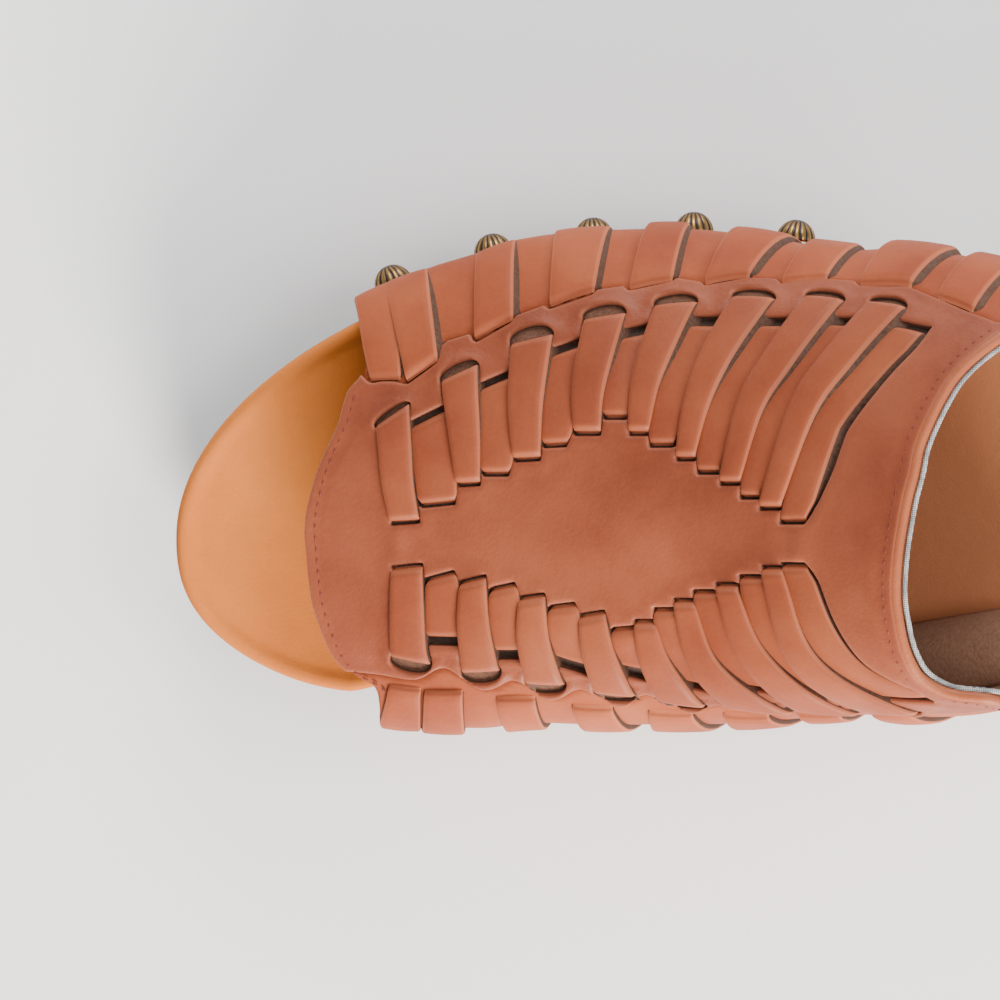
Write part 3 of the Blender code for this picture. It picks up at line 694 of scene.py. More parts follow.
# Raised side straps: front and rear edge, each as two pixels, at the band and near the silhouette, and the
# height of their top at both
LATERAL_SIDE = (
    (((370, 382), (354, 304), (400, 381), (396, 292)), 0.0009, 0.0002),
    (((407, 384), (387, 290), (438, 362), (428, 276)), 0.0017, 0.0003),
    (((474, 341), (475, 256), (513, 321), (514, 249)), 0.0016, 0.0001),
    (((549, 308), (553, 240), (594, 292), (607, 234)), 0.0017, 0.0005),
    (((628, 290), (650, 230), (672, 281), (690, 230)), 0.0016, 0.0014),
    (((703, 285), (726, 236), (748, 277), (796, 232)), 0.0017, 0.0014),
    (((780, 283), (814, 242), (826, 278), (858, 246)), 0.0015, 0.0015),
    (((858, 285), (890, 243), (910, 286), (953, 251)), 0.0016, 0.0016),
    (((936, 298), (975, 256), (972, 312), (1018, 268)), 0.0016, 0.0016),
)
MEDIAL_SIDE = (
    (((389, 684), (377, 722), (421, 688), (421, 728)), 0.0013, 0.0013),
    (((424, 690), (422, 729), (463, 690), (465, 730)), 0.0016, 0.0015),
    (((496, 697), (507, 729), (535, 697), (550, 728)), 0.0016, 0.0015),
    (((571, 705), (578, 722), (612, 707), (628, 727)), 0.0016, 0.0016),
    (((648, 711), (651, 727), (692, 713), (716, 729)), 0.0016, 0.0016),
    (((722, 714), (730, 725), (768, 716), (792, 725)), 0.0016, 0.0016),
    (((796, 714), (808, 720), (840, 715), (852, 719)), 0.0015, 0.0015),
    (((868, 712), (884, 717), (908, 711), (924, 715)), 0.0015, 0.0015),
)
FRONT_EDGE = ((351, 300), (359, 340), (363, 366), (361, 374), (348.5, 388.5), (344, 399), (337, 424), (318, 467),
              (307, 505), (304, 530), (305.6, 554), (308, 580), (312.6, 608), (329, 652), (342, 669), (356, 679),
              (371, 687), (376.5, 704), (377, 721))
TOPLINE = ((1010, 326), (992, 338), (965, 360), (949, 378), (937, 398), (929, 414), (921, 432), (915, 449),
           (911, 470), (904, 497), (898.5, 526), (894.5, 553), (892.5, 578), (892.5, 602), (895.5, 623), (900, 645),
           (906.5, 663), (918.5, 682), (939, 695), (961, 701), (985, 703))
# Lateral end of the toe stitches, and the two puckers of the panel
STITCH_CORNER = ((346, 392),)
PUCKERS = ((398, 545), (800, 545))

# Heights over the upper's outer face, and how far the strips sink into the layer below
UNDER_LAYER = -0.0007
PANEL_TOP = 0.0009
OVER_TOP = 0.0019
TUCKED_TOP = 0.0012
TUCKED_TAIL = 0.0004
SIDE_LAYER = 0.0002
SIDE_FOOT = 0.0006
FOOT_SINK = 0.0004
EDGE_ROUND = 0.00055

# Spacing of points on the plan, in metres
PATH_STEP = 0.0005
OUTLINE_STEP = 0.0006
GRID_STEP = 0.0011
RING_OFFSETS = (0.00012, 0.00032, 0.00062, 0.0011)

# Woven strips
SLIT = 0.0005
STRAP_SKIRT = 0.0024
STRAP_CROWN = 0.00030
DIVE = 0.0017
END_BLEND = 0.0075
TUCKED_OVERLAP = 0.0006
LIP_REACH = 0.0006
OVER_ARCH = 0.0003
MEDIAL_SKIRT = 0.0003
TUCKED_SKIRT = 0.0002
LAST_SKIRT = 0.0015
# The panel's medial edge on the plan: how far it passes the over and the tucked strips, and its front and rear ends
OVER_BORDER = 0.0016
TUCKED_BORDER = 0.0062
MEDIAL_FRONT = (-0.0075, -0.0030)
MEDIAL_REAR = ((0.010, 0.0006), (0.019, 0.0030))
# Across a strip: place as a share of its half width, and drop below its top as a share of its thickness
STRAP_SECTION = ((-1.0, 1.0), (-1.0, 0.45), (-0.985, 0.22), (-0.94, 0.07), (-0.86, 0.0), (-0.6, 0.0), (-0.3, 0.0),
                 (0.0, 0.0), (0.3, 0.0), (0.6, 0.0), (0.86, 0.0), (0.94, 0.07), (0.985, 0.22), (1.0, 0.45), (1.0, 1.0))
WALL_START = 0.1

# Panel's relief as (height, width, distance from its line): lips round the half-moons, swellings along the windows
# and the crease along the outer edge; the puckers' height, length and width
LIP = (0.00045, 0.0009, 0.0)
SWELLING = (0.00022, 0.0009, 0.0012)
CREASE = (-0.00022, 0.0005, 0.0026)
PUCKER = (0.0006, 0.0020, 0.0038)

# Side straps: gap, dip and lowest end in levels, the rest in metres
SIDE_GAP = 0.006
SIDE_DIVE = 0.032
SIDE_LOWEST = 2.27
SIDE_SKIRT = 0.0017
SIDE_BEND = 0.030
SIDE_CROWN = 0.0002

# Roll, stitches and linings; the patch's reach, end and width are in levels
ROLL_RADIUS = 0.00110
LINING_LINE_RADIUS = 0.00048
STITCH_PITCH = 0.0022
STITCH_LENGTH = 0.0014
STITCH_RADIUS = 0.00022
STITCH_ARCH = 0.00022
STITCH_SINK = 0.0003
PATCH_REACH = 0.12
PATCH_END = -1.7
PATCH_WIDTH = 0.15
LINING_START = 0.100
LINING_STAND = 0.0068


# Front edge and topline as x over the level

front_places = seen_at(FRONT_EDGE)
front_levels = level_at(*front_places.T)
order = np.argsort(front_levels)
front_rows = np.stack([front_levels[order], front_places[order, 0]], axis=1)
top_places = seen_at(TOPLINE)
top_levels = level_at(*top_places.T)


def cad_rear(s):
    wing = np.where(s > 0, through(LATERAL_WING, np.abs(s)), through(MEDIAL_WING, np.abs(s)))
    return VAMP_FRONT + VAMP_LENGTH + WING_LENGTH * wing


lower = np.array([0.7, 0.85, 1.0, 1.5, 2.0, 3.0])
rear_list = [(-s, cad_rear(np.array(-s))) for s in lower[:0:-1]] + [(-0.72, 0.1672), (-0.60, 0.1632)]
rear_list += sorted(zip(top_levels, top_places[:, 0]))
rear_list += [(s, cad_rear(np.array(s))) for s in lower if s > top_levels.max() + 0.06]
rear_rows = np.array([(s, float(x)) for s, x in rear_list])


def front_x(s):
    return through(front_rows, s)


def rear_x(s):
    return through(rear_rows, s)


def plan_of(x, s):
    return np.stack([np.broadcast_to(x, np.shape(s)), arc_at(x, s)], axis=-1)


# Woven straps


class Strap:
    """One woven strip on the unrolled plan, with its path, the lines across it and its corners."""

    def __init__(self, row, number, side):
        pixels, inner_width, outer_width, inner_slope, outer_slope, self.room = row
        self.side = side
        self.over = number % 2 == 0
        self.path = spline(seen_at(pixels), PATH_STEP)
        share = np.linspace(0, 1, len(self.path))
        half = (inner_width + (outer_width - inner_width) * share**0.55) / 2
        if not self.over:
            half = half + TUCKED_OVERLAP * smooth(share, 0.0, 0.12) * (1 - smooth(share, 0.88, 1.0))
        square = sideways(self.path)
        self.along = np.stack([square[:, 1], -square[:, 0]], axis=1)
        self.across = square.copy()
        run = run_along(self.path)
        for end, slope, distance in ((0, inner_slope, run), (-1, outer_slope, run[-1] - run)):
            x, y = pixels[end]
            pair = seen_at(((x - 8, y - 8 * slope), (x + 8, y + 8 * slope)))
            line = unit(pair[1] - pair[0])
            line = line * np.sign(line @ square[end])
            weight = (1 - smooth(distance, 0.0, END_BLEND))[:, None]
            self.across = self.across * (1 - weight) + line * weight
        self.across = unit(self.across)
        self.half = half / np.maximum((self.across * square).sum(axis=1), 0.5)
        self.heel = 1.0 if self.across[len(share) // 2, 0] > 0 else -1.0

    def corner(self, end, turn, beyond=0.0, wider=0.0):
        """Corner at one point of the path, on the toe (-1) or heel (1) side, moved on along the strap."""
        way = -1 if end == 0 else 1
        line = self.across[end] * (self.half[end] + wider) * turn * self.heel
        return self.path[end] + line + self.along[end] * way * beyond

    def rim(self, turn):
        return self.path + self.across * (self.half * turn * self.heel)[:, None]


LATERAL = [Strap(row, k, 1) for k, row in enumerate(LATERAL_STRAPS)]
MEDIAL = [Strap(row, k, -1) for k, row in enumerate(MEDIAL_STRAPS)]


def wall_share(drop):
    return max(0.0, drop - WALL_START) / (1 - WALL_START)


def strip_wear_and_highlight(fall, drop, painted_light_tone):
    """Rubbed wear and painted highlight of one line along a strip: lighter at its dipping ends and on its rounded
    upper corners.
    """
    return np.where(fall < 0.97, painted_light_tone, 0.0) + (0.8 if 0.02 < drop < 0.3 else 0.0)


def strip_part(lines, wear_and_painted_light, flipped=False):
    """Points, faces, slots, and share of wear and painted light, of a strip whose lines along it follow STRAP_SECTION.
    """
    points = np.stack(lines, axis=1)
    count, columns = points.shape[:2]
    cut = (0, 1, columns - 3, columns - 2)
    slots = [int(j in cut) for _ in range(count - 1) for j in range(columns - 1)] + [1, 1]
    faces = grid_faces(count, columns) + end_caps(count, columns)
    if flipped:
        faces = [face[::-1] for face in faces]
    return points.reshape(-1, 3), faces, slots, np.stack(wear_and_painted_light, axis=1).reshape(-1)


def strap_part(strap, top, dives, skirt):
    """A woven strip; skirt is how far its heel side's wall leans out at the foot."""
    run = run_along(strap.path)
    fall = np.ones(len(run))
    for depth, distance in zip(dives, (run, run[-1] - run)):
        fall = np.minimum(fall, 1 - depth * (1 - quarter_round(distance / DIVE)))
    height = UNDER_LAYER + (top - UNDER_LAYER) * fall
    lines, wear_and_painted_light = [], []
    for place, drop in STRAP_SECTION:
        lean = skirt * wall_share(drop) * (place * strap.heel > 0) * np.sign(place)
        plan = strap.path + strap.across * (strap.half * place + lean)[:, None]
        rise = height + STRAP_CROWN * (1 - place * place) * fall - (height - UNDER_LAYER + FOOT_SINK) * drop
        lines.append(lifted(plan, rise))
        wear_and_painted_light.append(strip_wear_and_highlight(fall, drop, 0.35))
    return strip_part(lines, wear_and_painted_light)


def crescent(strap, beyond=0.0):
    """Half-moon round an over strap's outer end, from its toe side to its heel side."""
    first, last = strap.corner(-1, -1, 0.0, 0.0003), strap.corner(-1, 1, 0.0, 0.0003)
    chord = last - first
    out = unit(np.array([-chord[1], chord[0]]))
    out = out * np.sign(out @ strap.along[-1]) * (strap.room + beyond)
    turn = np.linspace(0, math.pi, 17)[:, None]
    return first + chord * (1 - np.cos(turn)) / 2 + out * np.maximum(np.sin(turn), 0) ** 0.8


def moon_part(strap):
    """Flesh side of the leather that shows in the half-moon beyond a strap on top."""
    arc = crescent(strap, LIP_REACH)
    inner = arc[0] + (arc[-1] - arc[0]) * np.linspace(0, 1, len(arc))[:, None] - strap.along[-1] * 0.0012
    shares = np.linspace(0, 1, 5)
    points = np.concatenate([lifted(inner * (1 - t) + arc * t, 0.0004 - 0.0005 * t) for t in shares])
    faces = grid_faces(len(shares), len(arc))
    if strap.side > 0:
        faces = [face[::-1] for face in faces]
    return points, faces, [2] * len(faces), np.zeros(len(points))


def woven(name, straps, over):
    parts = []
    for number, strap in enumerate(straps):
        if strap.over != over:
            continue
        run = np.linspace(0, 1, len(strap.path))
        back = min(1.0, number / 8)
        if over:
            top = OVER_TOP + OVER_ARCH * np.sin(np.pi * run)
            lean = STRAP_SKIRT * (0.2 + 0.8 * back) if strap.side > 0 else MEDIAL_SKIRT
            parts.append(strap_part(strap, top, (1, 0.45), lean * smooth(run, 0.05, 0.60)))
            parts.append(moon_part(strap))
        else:
            top = TUCKED_TOP - (TUCKED_TOP - TUCKED_TAIL) * smooth(run, 0.25, 0.9) * (0.4 + 0.6 * back)
            lean = LAST_SKIRT if number == len(straps) - 1 and strap.side > 0 else TUCKED_SKIRT
            parts.append(strap_part(strap, top, (1, 1), lean * smooth(run, 0.0, 0.3)))
    return make_joined(name, parts, (COGNAC_STRAP, CUT_EDGE, HALF_MOON))


# Pieces of the upper, in the order in which they are made
upper = [woven(f"{name}_{word}_straps", straps, word == "over")
         for name, straps in (("lateral", LATERAL), ("medial", MEDIAL)) for word in ("over", "tucked")]


# Panel: toe border, smooth middle, topline border and bands, in one sheet with two woven windows


def nearest(line, place):
    return line[np.linalg.norm(line - place, axis=1).argmin()]


def window(straps):
    """Closed outline of a woven window on the unrolled plan."""
    points = []
    for k, strap in enumerate(straps):
        toe, heel = strap.corner(0, -1, SLIT), strap.corner(0, 1, SLIT)
        if k:
            before = straps[k - 1]
            step = nearest(before.rim(1), strap.corner(0, -1))
            points.append(step if np.linalg.norm(step - before.rim(1)[0]) > 0.0006
                          else nearest(strap.rim(-1), before.corner(0, 1)))
        points += [toe, heel]
    last, first = straps[-1], straps[0]
    reach = len(last.path) - 1
    wider = 0.0010 if last.side > 0 else 0.0
    points += [last.corner(k, 1, 0.0, 0.0005 + wider * float(smooth(k / reach, 0.05, 0.3)))
               for k in range(3, reach - 1, 3)]
    for strap in reversed(straps):
        if strap.over:
            points += list(crescent(strap)[::-1])
        else:
            points += [strap.corner(-1, 1, strap.room, wider if strap is last else 0.0),
                       strap.corner(-1, -1, strap.room)]
    points += [first.corner(k, -1, 0.0, -0.0009) for k in range(len(first.path) - 4, 2, -3)]
    return resample(np.array(points + [points[0]]), PATH_STEP)[:-1]


def panel_outline():
    """Closed outer outline: front edge, lateral band, topline and medial band."""
    lateral = seen_at(LATERAL_BAND)
    medial = [strap.path[-1] + strap.along[-1] * (strap.room + OVER_BORDER) for strap in MEDIAL[::2]]
    medial += [strap.path[-1] + strap.along[-1] * TUCKED_BORDER for strap in MEDIAL[1:15:2]]
    medial = np.array(sorted(medial + [MEDIAL[0].path[-1] + MEDIAL_FRONT], key=lambda place: place[0]))
    medial = np.concatenate([medial, medial[-1] + MEDIAL_REAR])
    front_top, rear_top = level_at(*lateral.T)[[0, -1]]
    front_low, rear_low = level_at(*medial.T)[[0, -1]]
    s = np.linspace(front_low, front_top, 120)
    front = plan_of(front_x(s), s)
    s = np.linspace(rear_top, rear_low, 160)
    rear = plan_of(rear_x(s), s)
    step = OUTLINE_STEP
    band, under = resample(lateral, step), spline(medial, 0.0008)[::-1]
    band = band[(band[:, 0] > front[-1, 0] + step) & (band[:, 0] < rear[0, 0] - step)]
    under = under[(under[:, 0] > front[0, 0] + step) & (under[:, 0] < rear[-1, 0] - step)]
    return resample(np.concatenate([front, band, rear, under, front[:1]]), step)[:-1]


PANEL_OUTLINE = panel_outline()
WINDOWS = [window(LATERAL), window(MEDIAL)]
LOOPS = [PANEL_OUTLINE, *WINDOWS]


def in_panel(points):
    """Which plan points lie in the panel and in none of its windows."""
    return inside(points, PANEL_OUTLINE) & ~inside(points, WINDOWS[0]) & ~inside(points, WINDOWS[1])


def panel_grid():
    """Plan points of the panel: close rings along its edges, and a triangular grid between them."""
    rings = []
    for loop in LOOPS:
        out = sideways(np.concatenate([loop[-1:], loop, loop[:1]]))[1:-1]
        for offset in RING_OFFSETS:
            for way in (1, -1):
                ring = loop + out * offset * way
                rings.append(ring[in_panel(ring) & (distance_to(ring, LOOPS) > offset * 0.9)])
    low, high = PANEL_OUTLINE.min(axis=0), PANEL_OUTLINE.max(axis=0)
    across, along = np.meshgrid(np.arange(low[0], high[0], GRID_STEP), np.arange(low[1], high[1], GRID_STEP * 0.87))
    across = across + (np.arange(across.shape[0])[:, None] % 2) * GRID_STEP / 2
    grid = np.stack([across.ravel(), along.ravel()], axis=1)
    grid = grid[in_panel(grid)]
    return np.concatenate([*LOOPS, *rings, grid[distance_to(grid, LOOPS) > 0.0017]])


def panel_triangles():
    """Plan points and triangles of the panel."""
    edges, start = [], 0
    for loop in LOOPS:
        count = len(loop)
        edges += [(start + k, start + (k + 1) % count) for k in range(count)]
        start += count
    scale = 1000.0
    result = delaunay_2d_cdt([Vector(p * scale) for p in panel_grid()], edges, [], 0, 1e-6)
    points = np.array([tuple(v) for v in result[0]]) / scale
    triangles = np.array([tuple(face) for face in result[2] if len(face) == 3])
    triangles = triangles[in_panel(points[triangles].mean(axis=1))]
    used, triangles = np.unique(triangles, return_inverse=True)
    return points[used], triangles.reshape(-1, 3)


def ridge(gap, height, width, distance):
    return height * np.exp(-((gap - distance) / width) ** 2)


def panel_relief(points):
    """Lips round the half-moons, low swellings and soft creases of the panel, in metres."""
    relief = ridge(distance_to(points, [PANEL_OUTLINE]), *CREASE)
    for hole in WINDOWS:
        relief += ridge(distance_to(points, [hole]), *SWELLING)
    for strap in LATERAL + MEDIAL:
        if strap.over:
            arc = crescent(strap, LIP_REACH)[1:-1]
            relief += ridge(np.linalg.norm(points[:, None] - arc, axis=-1).min(axis=1), *LIP)
    height, length, width = PUCKER
    for x, a in seen_at(PUCKERS):
        relief += height * np.exp(-(((points[:, 0] - x) / length) ** 2) - ((points[:, 1] - a) / width) ** 2)
    return relief


def build_panel():
    points, triangles = panel_triangles()
    gap = distance_to(points, LOOPS)
    gap[gap < 4e-5] = 0.0
    top = lifted(points, PANEL_TOP + panel_relief(points) - EDGE_ROUND * (1 - quarter_round(gap / EDGE_ROUND)))
    # Painted highlight and rubbed wear: lighter within about half a millimetre of every edge of the panel
    wear_and_painted_light = np.clip(1.15 - gap / 0.0006, 0, 1) * 0.8
    # Turn triangles so that they face out
    a, b, c = top[triangles].transpose(1, 0, 2)
    x, arc = points[triangles].mean(axis=1).T
    flip = (np.cross(b - a, c - a) * normal(x, level_at(x, arc))).sum(axis=1) < 0
    triangles[flip] = triangles[flip][:, ::-1]
    # Walls below the border
    pairs = np.concatenate([triangles[:, [0, 1]], triangles[:, [1, 2]], triangles[:, [2, 0]]])
    keys = {tuple(p) for p in pairs}
    border = [p for p in keys if (p[1], p[0]) not in keys]
    corners = sorted({k for p in border for k in p})
    index = {k: len(top) + n for n, k in enumerate(corners)}
    foot = lifted(points[corners], UNDER_LAYER - 0.0002)
    faces = [*triangles, *((q, p, index[p], index[q]) for p, q in border)]
    return make_mesh("woven_panel", np.concatenate([top, foot]), faces, (COGNAC, CUT_EDGE),
                     [0] * len(triangles) + [1] * len(border), np.concatenate([wear_and_painted_light, np.zeros(len(corners))]))


upper.append(build_panel())


# Shell below the panel: side layer, bed of the windows in painted shadow, lasted edge and lining


def build_shell():
    middle, upright, lasted = np.linspace(-1, 1, 141), np.linspace(1, 2, 17)[1:], np.linspace(2, 3, 11)[1:]
    levels = np.concatenate([-lasted[::-1], -upright[::-1], middle, upright, lasted])
    margin = 0.0004
    reach = rear_x(levels) - front_x(levels) - 2 * margin
    x = (front_x(levels)[:, None] + margin) + reach[:, None] * np.linspace(0, 1, 151)
    s = np.broadcast_to(levels[:, None], x.shape)
    flat = plan_of(x, s).reshape(-1, 2)
    gap = distance_to(flat, [PANEL_OUTLINE]).reshape(x.shape)
    rise = (SIDE_LAYER - UNDER_LAYER) * smooth(gap, 0.0, 0.0007)
    height = UNDER_LAYER + np.where(inside(flat, PANEL_OUTLINE).reshape(x.shape), 0.0, rise)
    in_window = (inside(flat, WINDOWS[0]) | inside(flat, WINDOWS[1])).reshape(x.shape)
    outer = surface(x, s) + normal(x, s) * height[..., None]
    points, faces = closed_sheet(outer, surface(x, s) - normal(x, s) * (UPPER_WALL - 0.0001))
    # Faces inside the windows take the painted-shadow material
    slots = (2 * (in_window[:-1, :-1] | in_window[1:, 1:])).ravel().tolist()
    return make_mesh("upper_shell", points, faces, (COGNAC_SIDE, FLESH, PAINTED_WEAVE_SHADOW),
                     slots + [1] * (len(faces) - len(slots)), 0.0)


upper.append(build_shell())


# Side straps


def side_strap_part(row, side):
    pixels, peak, low = row
    places = seen_at(pixels)
    levels = np.abs(level_at(*places.T))
    steps = np.concatenate([[0, 0.004, 0.009, 0.016, 0.026, 0.040, 0.058], np.linspace(0.08, 1, 30)])

    def edge_x(top, foot, level):
        """X of a side edge that runs on past its second point and bends upright."""
        arcs = np.abs(places[:, 1])
        slope = (places[foot, 0] - places[top, 0]) / max(arcs[foot] - arcs[top], 0.008)
        reach = np.maximum(np.abs(arc_at(places[top, 0], side * level)) - arcs[top], -0.003)
        bent = SIDE_BEND + SIDE_BEND / 2 * (1 - np.exp(-2 * (reach - SIDE_BEND) / SIDE_BEND))
        return places[top, 0] + np.clip(slope, -0.25, 0.60) * np.where(reach < SIDE_BEND, reach, bent)

    lines, wear_and_painted_light = [], []
    for place, drop in STRAP_SECTION:
        share = (place + 1) / 2
        start = levels[0] + (levels[2] - levels[0]) * share + SIDE_GAP
        level = start + (SIDE_LOWEST - start) * steps
        first, limit = front_x(side * level) + 0.0004, rear_x(side * level) - 0.0012
        front = np.clip(edge_x(0, 1, level), first, limit - 0.002)
        rear = np.clip(edge_x(2, 3, level), first + 0.002, limit)
        skirt = SIDE_SKIRT * (side > 0) * (place > 0) * wall_share(drop)
        skirt = skirt * (1 - smooth(level - start, 0.08, 0.62)) * smooth(level - start, 0.0, 0.02)
        fall = quarter_round((level - start) / SIDE_DIVE)
        top = peak + (low - peak) * smooth(level - start, 0.15, 0.55)
        top = (top + (SIDE_FOOT - low) * smooth(level, 1.35, 2.1)) * fall
        rise = top + SIDE_CROWN * (1 - place * place) - (top + FOOT_SINK) * drop
        lines.append(lifted(plan_of(front + (rear - front) * share + skirt, side * level), rise))
        wear_and_painted_light.append(strip_wear_and_highlight(fall, drop, 0.3))
    return strip_part(lines, wear_and_painted_light, side > 0)


for name, rows, side in (("lateral", LATERAL_SIDE, 1), ("medial", MEDIAL_SIDE, -1)):
    parts = [side_strap_part(row, side) for row in rows]
    upper.append(make_joined(f"{name}_side_straps", parts, (COGNAC_SIDE, CUT_EDGE)))


# Rolled topline, its pale lining line, the linings and the stitches


def build_tube(name, reach, count, back, depth, radius, sides, flatten, material):
    """Tube along the topline, moved back from it and below the upper's outer face."""
    s = np.linspace(-reach, reach, count)
    x = rear_x(s) + back
    out = normal(x, s)
    centres = surface(x, s) - out * depth
    along = unit(np.gradient(centres, axis=0))
    left = unit(np.cross(out, along))
    points, faces = tube_part(centres, left, np.cross(along, left) * flatten, radius, sides)
    return make_mesh(name, points, faces, (material,), wear_and_painted_light=0.15)


def inner_sheet(name, s, x, near, far, material):
    """Closed sheet on the upper's inner face, between two depths below its outer face."""
    points, faces = closed_sheet(*(surface(x, s) - normal(x, s) * np.broadcast_to(depth, x.shape)[..., None]
                                   for depth in (near, far)))
    return make_mesh(name, points, faces, (material,), wear_and_painted_light=0.0)


def build_lining_patch():
    """Mottled lining that shows below the topline inside the medial side."""
    first = abs(float(top_levels.min())) - PATCH_REACH
    along, down = np.linspace(-first, PATCH_END, 90), np.linspace(0, 1, 8)
    width = PATCH_WIDTH * smooth(np.abs(along), first, first + 0.10)
    s = along[:, None] - width[:, None] * down
    x = np.broadcast_to((rear_x(along) - 0.0003)[:, None], s.shape)
    depth = UPPER_WALL + 0.0004
    return inner_sheet("lining_patch", s, x, depth - 0.0003, depth, PATCH)


def build_medial_lining():
    """Lining of the medial side, which stands off the wall towards the footbed."""
    levels = np.linspace(-0.80, -1.94, 60)
    share = np.linspace(0, 1, 70)
    ends = rear_x(levels) - 0.0020
    x = LINING_START + (ends - LINING_START)[:, None] * share
    s = np.broadcast_to(levels[:, None], x.shape)
    stand = LINING_STAND * smooth(np.abs(s), 0.85, 1.94) * smooth(x, LINING_START, LINING_START + 0.030)
    stand = stand * (1 - smooth(share, 0.76, 1.0))
    return inner_sheet("medial_lining", s, x, UPPER_WALL, UPPER_WALL + 0.0002 + stand, FLESH)


def stitches(name, x, s):
    path = resample(plan_of(x, s), STITCH_PITCH)
    along = unit(np.gradient(path, axis=0))
    t = np.linspace(-0.5, 0.5, 5)
    height = PANEL_TOP - STITCH_SINK + STITCH_ARCH * (1 - (2 * t) ** 2)
    parts = []
    for middle, forward in zip(path[1:-1], along[1:-1]):
        centres = lifted(middle + forward * STITCH_LENGTH * t[:, None], height)
        up = normal(middle[0], level_at(*middle))
        left = np.cross(up, unit(centres[-1] - centres[0]))
        points, faces = tube_part(centres, left, up, STITCH_RADIUS * np.sqrt(np.maximum(0.05, 1 - (2 * t) ** 4)), 6)
        parts.append((points, faces, [0] * len(faces), np.zeros(len(points))))
    return make_joined(name, parts, (THREAD,))


upper.append(build_tube("topline_roll", 3.0, 420, 0.0, 0.0002, ROLL_RADIUS, 12, 0.9, ROLLED))
upper.append(build_tube("lining_line", 2.0, 320, 0.0011, 0.0015, LINING_LINE_RADIUS, 8, 1.0, LINING))
upper += [build_lining_patch(), build_medial_lining()]
s = np.linspace(front_rows[0, 0] + 0.02, float(level_at(*seen_at(STITCH_CORNER)[0])), 200)
upper.append(stitches("toe_stitches", front_x(s) + 0.0022, s))
s = np.linspace(-0.80, 0.62, 260)
upper.append(stitches("topline_stitches", rear_x(s) - 0.0017, s))


# Sole


def loft(name, column, reach, stations, material):
    """Closed body through rings of both sides' columns, capped where an end isn't drawn to a line."""
    share = reach[0] + (reach[1] - reach[0]) * np.linspace(0, 1, stations + 1)
    lateral, medial = column(share, 1), column(share, -1)
    rings = np.concatenate([lateral, medial[::-1]], axis=0).transpose(1, 0, 2)
    rows, columns = rings.shape[:2]
    points = rings.reshape(-1, 3) + SHIFT
    faces = grid_faces(rows, columns, wrap=True)
    for row, ring in ((0, range(columns - 1, -1, -1)), (rows - 1, range(columns))):
        if np.ptp(rings[row, :, 1]) > 0.001:
            faces.append(tuple(row * columns + k for k in ring))
    made = make_mesh(name, points, faces, (material,))
    shape = bmesh.new()
    shape.from_mesh(made.data)
    bmesh.ops.remove_doubles(shape, verts=shape.verts, dist=2e-6)
    shape.to_mesh(made.data)
    shape.free()
    made.data.set_sharp_from_angle(angle=math.radians(38))
    return made


def insole_column(share, side):
    profile = ((0.13, 0.0), (0.05, 0.15), (0.0, 0.35), (0.02, 0.55), (0.10, 0.75), (0.25, 0.90), (0.45, 0.98),
               (0.70, 1.0), (0.95, 0.96), (1.20, 0.86), (1.6, 0.80))
    rings, opposite = [], edge(share, -side, profile[-1][0] * INSOLE_RIM)
    for inset, height in profile:
        x, y = edge(share, side, inset * INSOLE_RIM)
        rings.append((x, y, height))
    x, y, height = rings[-1]
    for reach in (0.06, 0.15, 0.28, 0.42):
        rings.append((x + (opposite[0] - x) * reach, y + (opposite[1] - y) * reach, height - 0.04 * reach))
    return np.stack([np.stack([x, y, platform_top(x) + CLEARANCE + height * INSOLE_THICKNESS], axis=-1)
                     for x, y, height in rings])


def side_points(rows, place):
    """Points down one side of a body, one for each of its rows."""
    return np.stack([np.stack(np.broadcast_arrays(*place(*row)), axis=-1) for row in rows])


def platform_column(share, side):
    x = station(share)
    depth = platform_top(x) - platform_underside(x)

    def place(part, more, inset):
        down = depth * part + more
        px, py = edge(share, side, down * SIDE_TAPER + inset)
        top = platform_top(px)
        return px, py, top - (top - platform_underside(px)) * down / depth

    # Down the side: share of the depth, metres more, inset
    return side_points(((0, 0, 0.004), (0, 0, 0.0005), (0, 0.0001, 0.0001), (0, 0.0006, 0), (0.25, 0, 0),
                        (0.5, 0, 0), (0.75, 0, 0), (1, -0.0012, 0), (1, -0.0004, 0.0004), (1, 0, EDGE_CHAMFER)), place)


def outsole_column(share, side):
    x = station(share)
    depth = platform_top(x) - platform_underside(x)

    def place(drop, inset):
        px, py = edge(share, side, (depth + drop) * SIDE_TAPER + EDGE_CHAMFER + inset)
        return px, py, platform_underside(px) - CLEARANCE - drop

    return side_points(((0, 0.004), (0, 0.0002), (0.0003, 0), (0.0015, 0), (0.0027, 0), (0.003, 0.0003),
                        (0.003, 0.004)), place)


def heel_place(share, side, level, inset=0.0):
    start = share_at(BREAST_TOP + (BREAST_BOTTOM - BREAST_TOP) * level)
    return edge(start + (1 - start) * share, side,
                EDGE_CHAMFER + WAIST_THICKNESS * SIDE_TAPER + HEEL_TAPER * level + inset)


def heel_column(share, side):
    foot = HEEL_TREAD_THICKNESS + CLEARANCE

    def place(level, inset):
        px, py = heel_place(share, side, level, inset)
        top = platform_underside(px) - CLEARANCE
        return px, py, top + (foot - top) * level

    return side_points(((0, 0.002), *((k / 8, 0) for k in range(8)), (0.985, 0), (1, 0.0004), (1, 0.003)), place)


def heel_tread_column(share, side):
    return side_points(((0.005, 0.003), (0.005, 0.0003), (0.0047, 0), (0.0003, 0), (0, 0.0004), (0, 0.003)),
                       lambda height, inset: (*heel_place(share, side, 1.0, inset), height))


WHOLE = (0.0, 1.0)
insole = loft("footbed", insole_column, WHOLE, 160, NUBUCK)
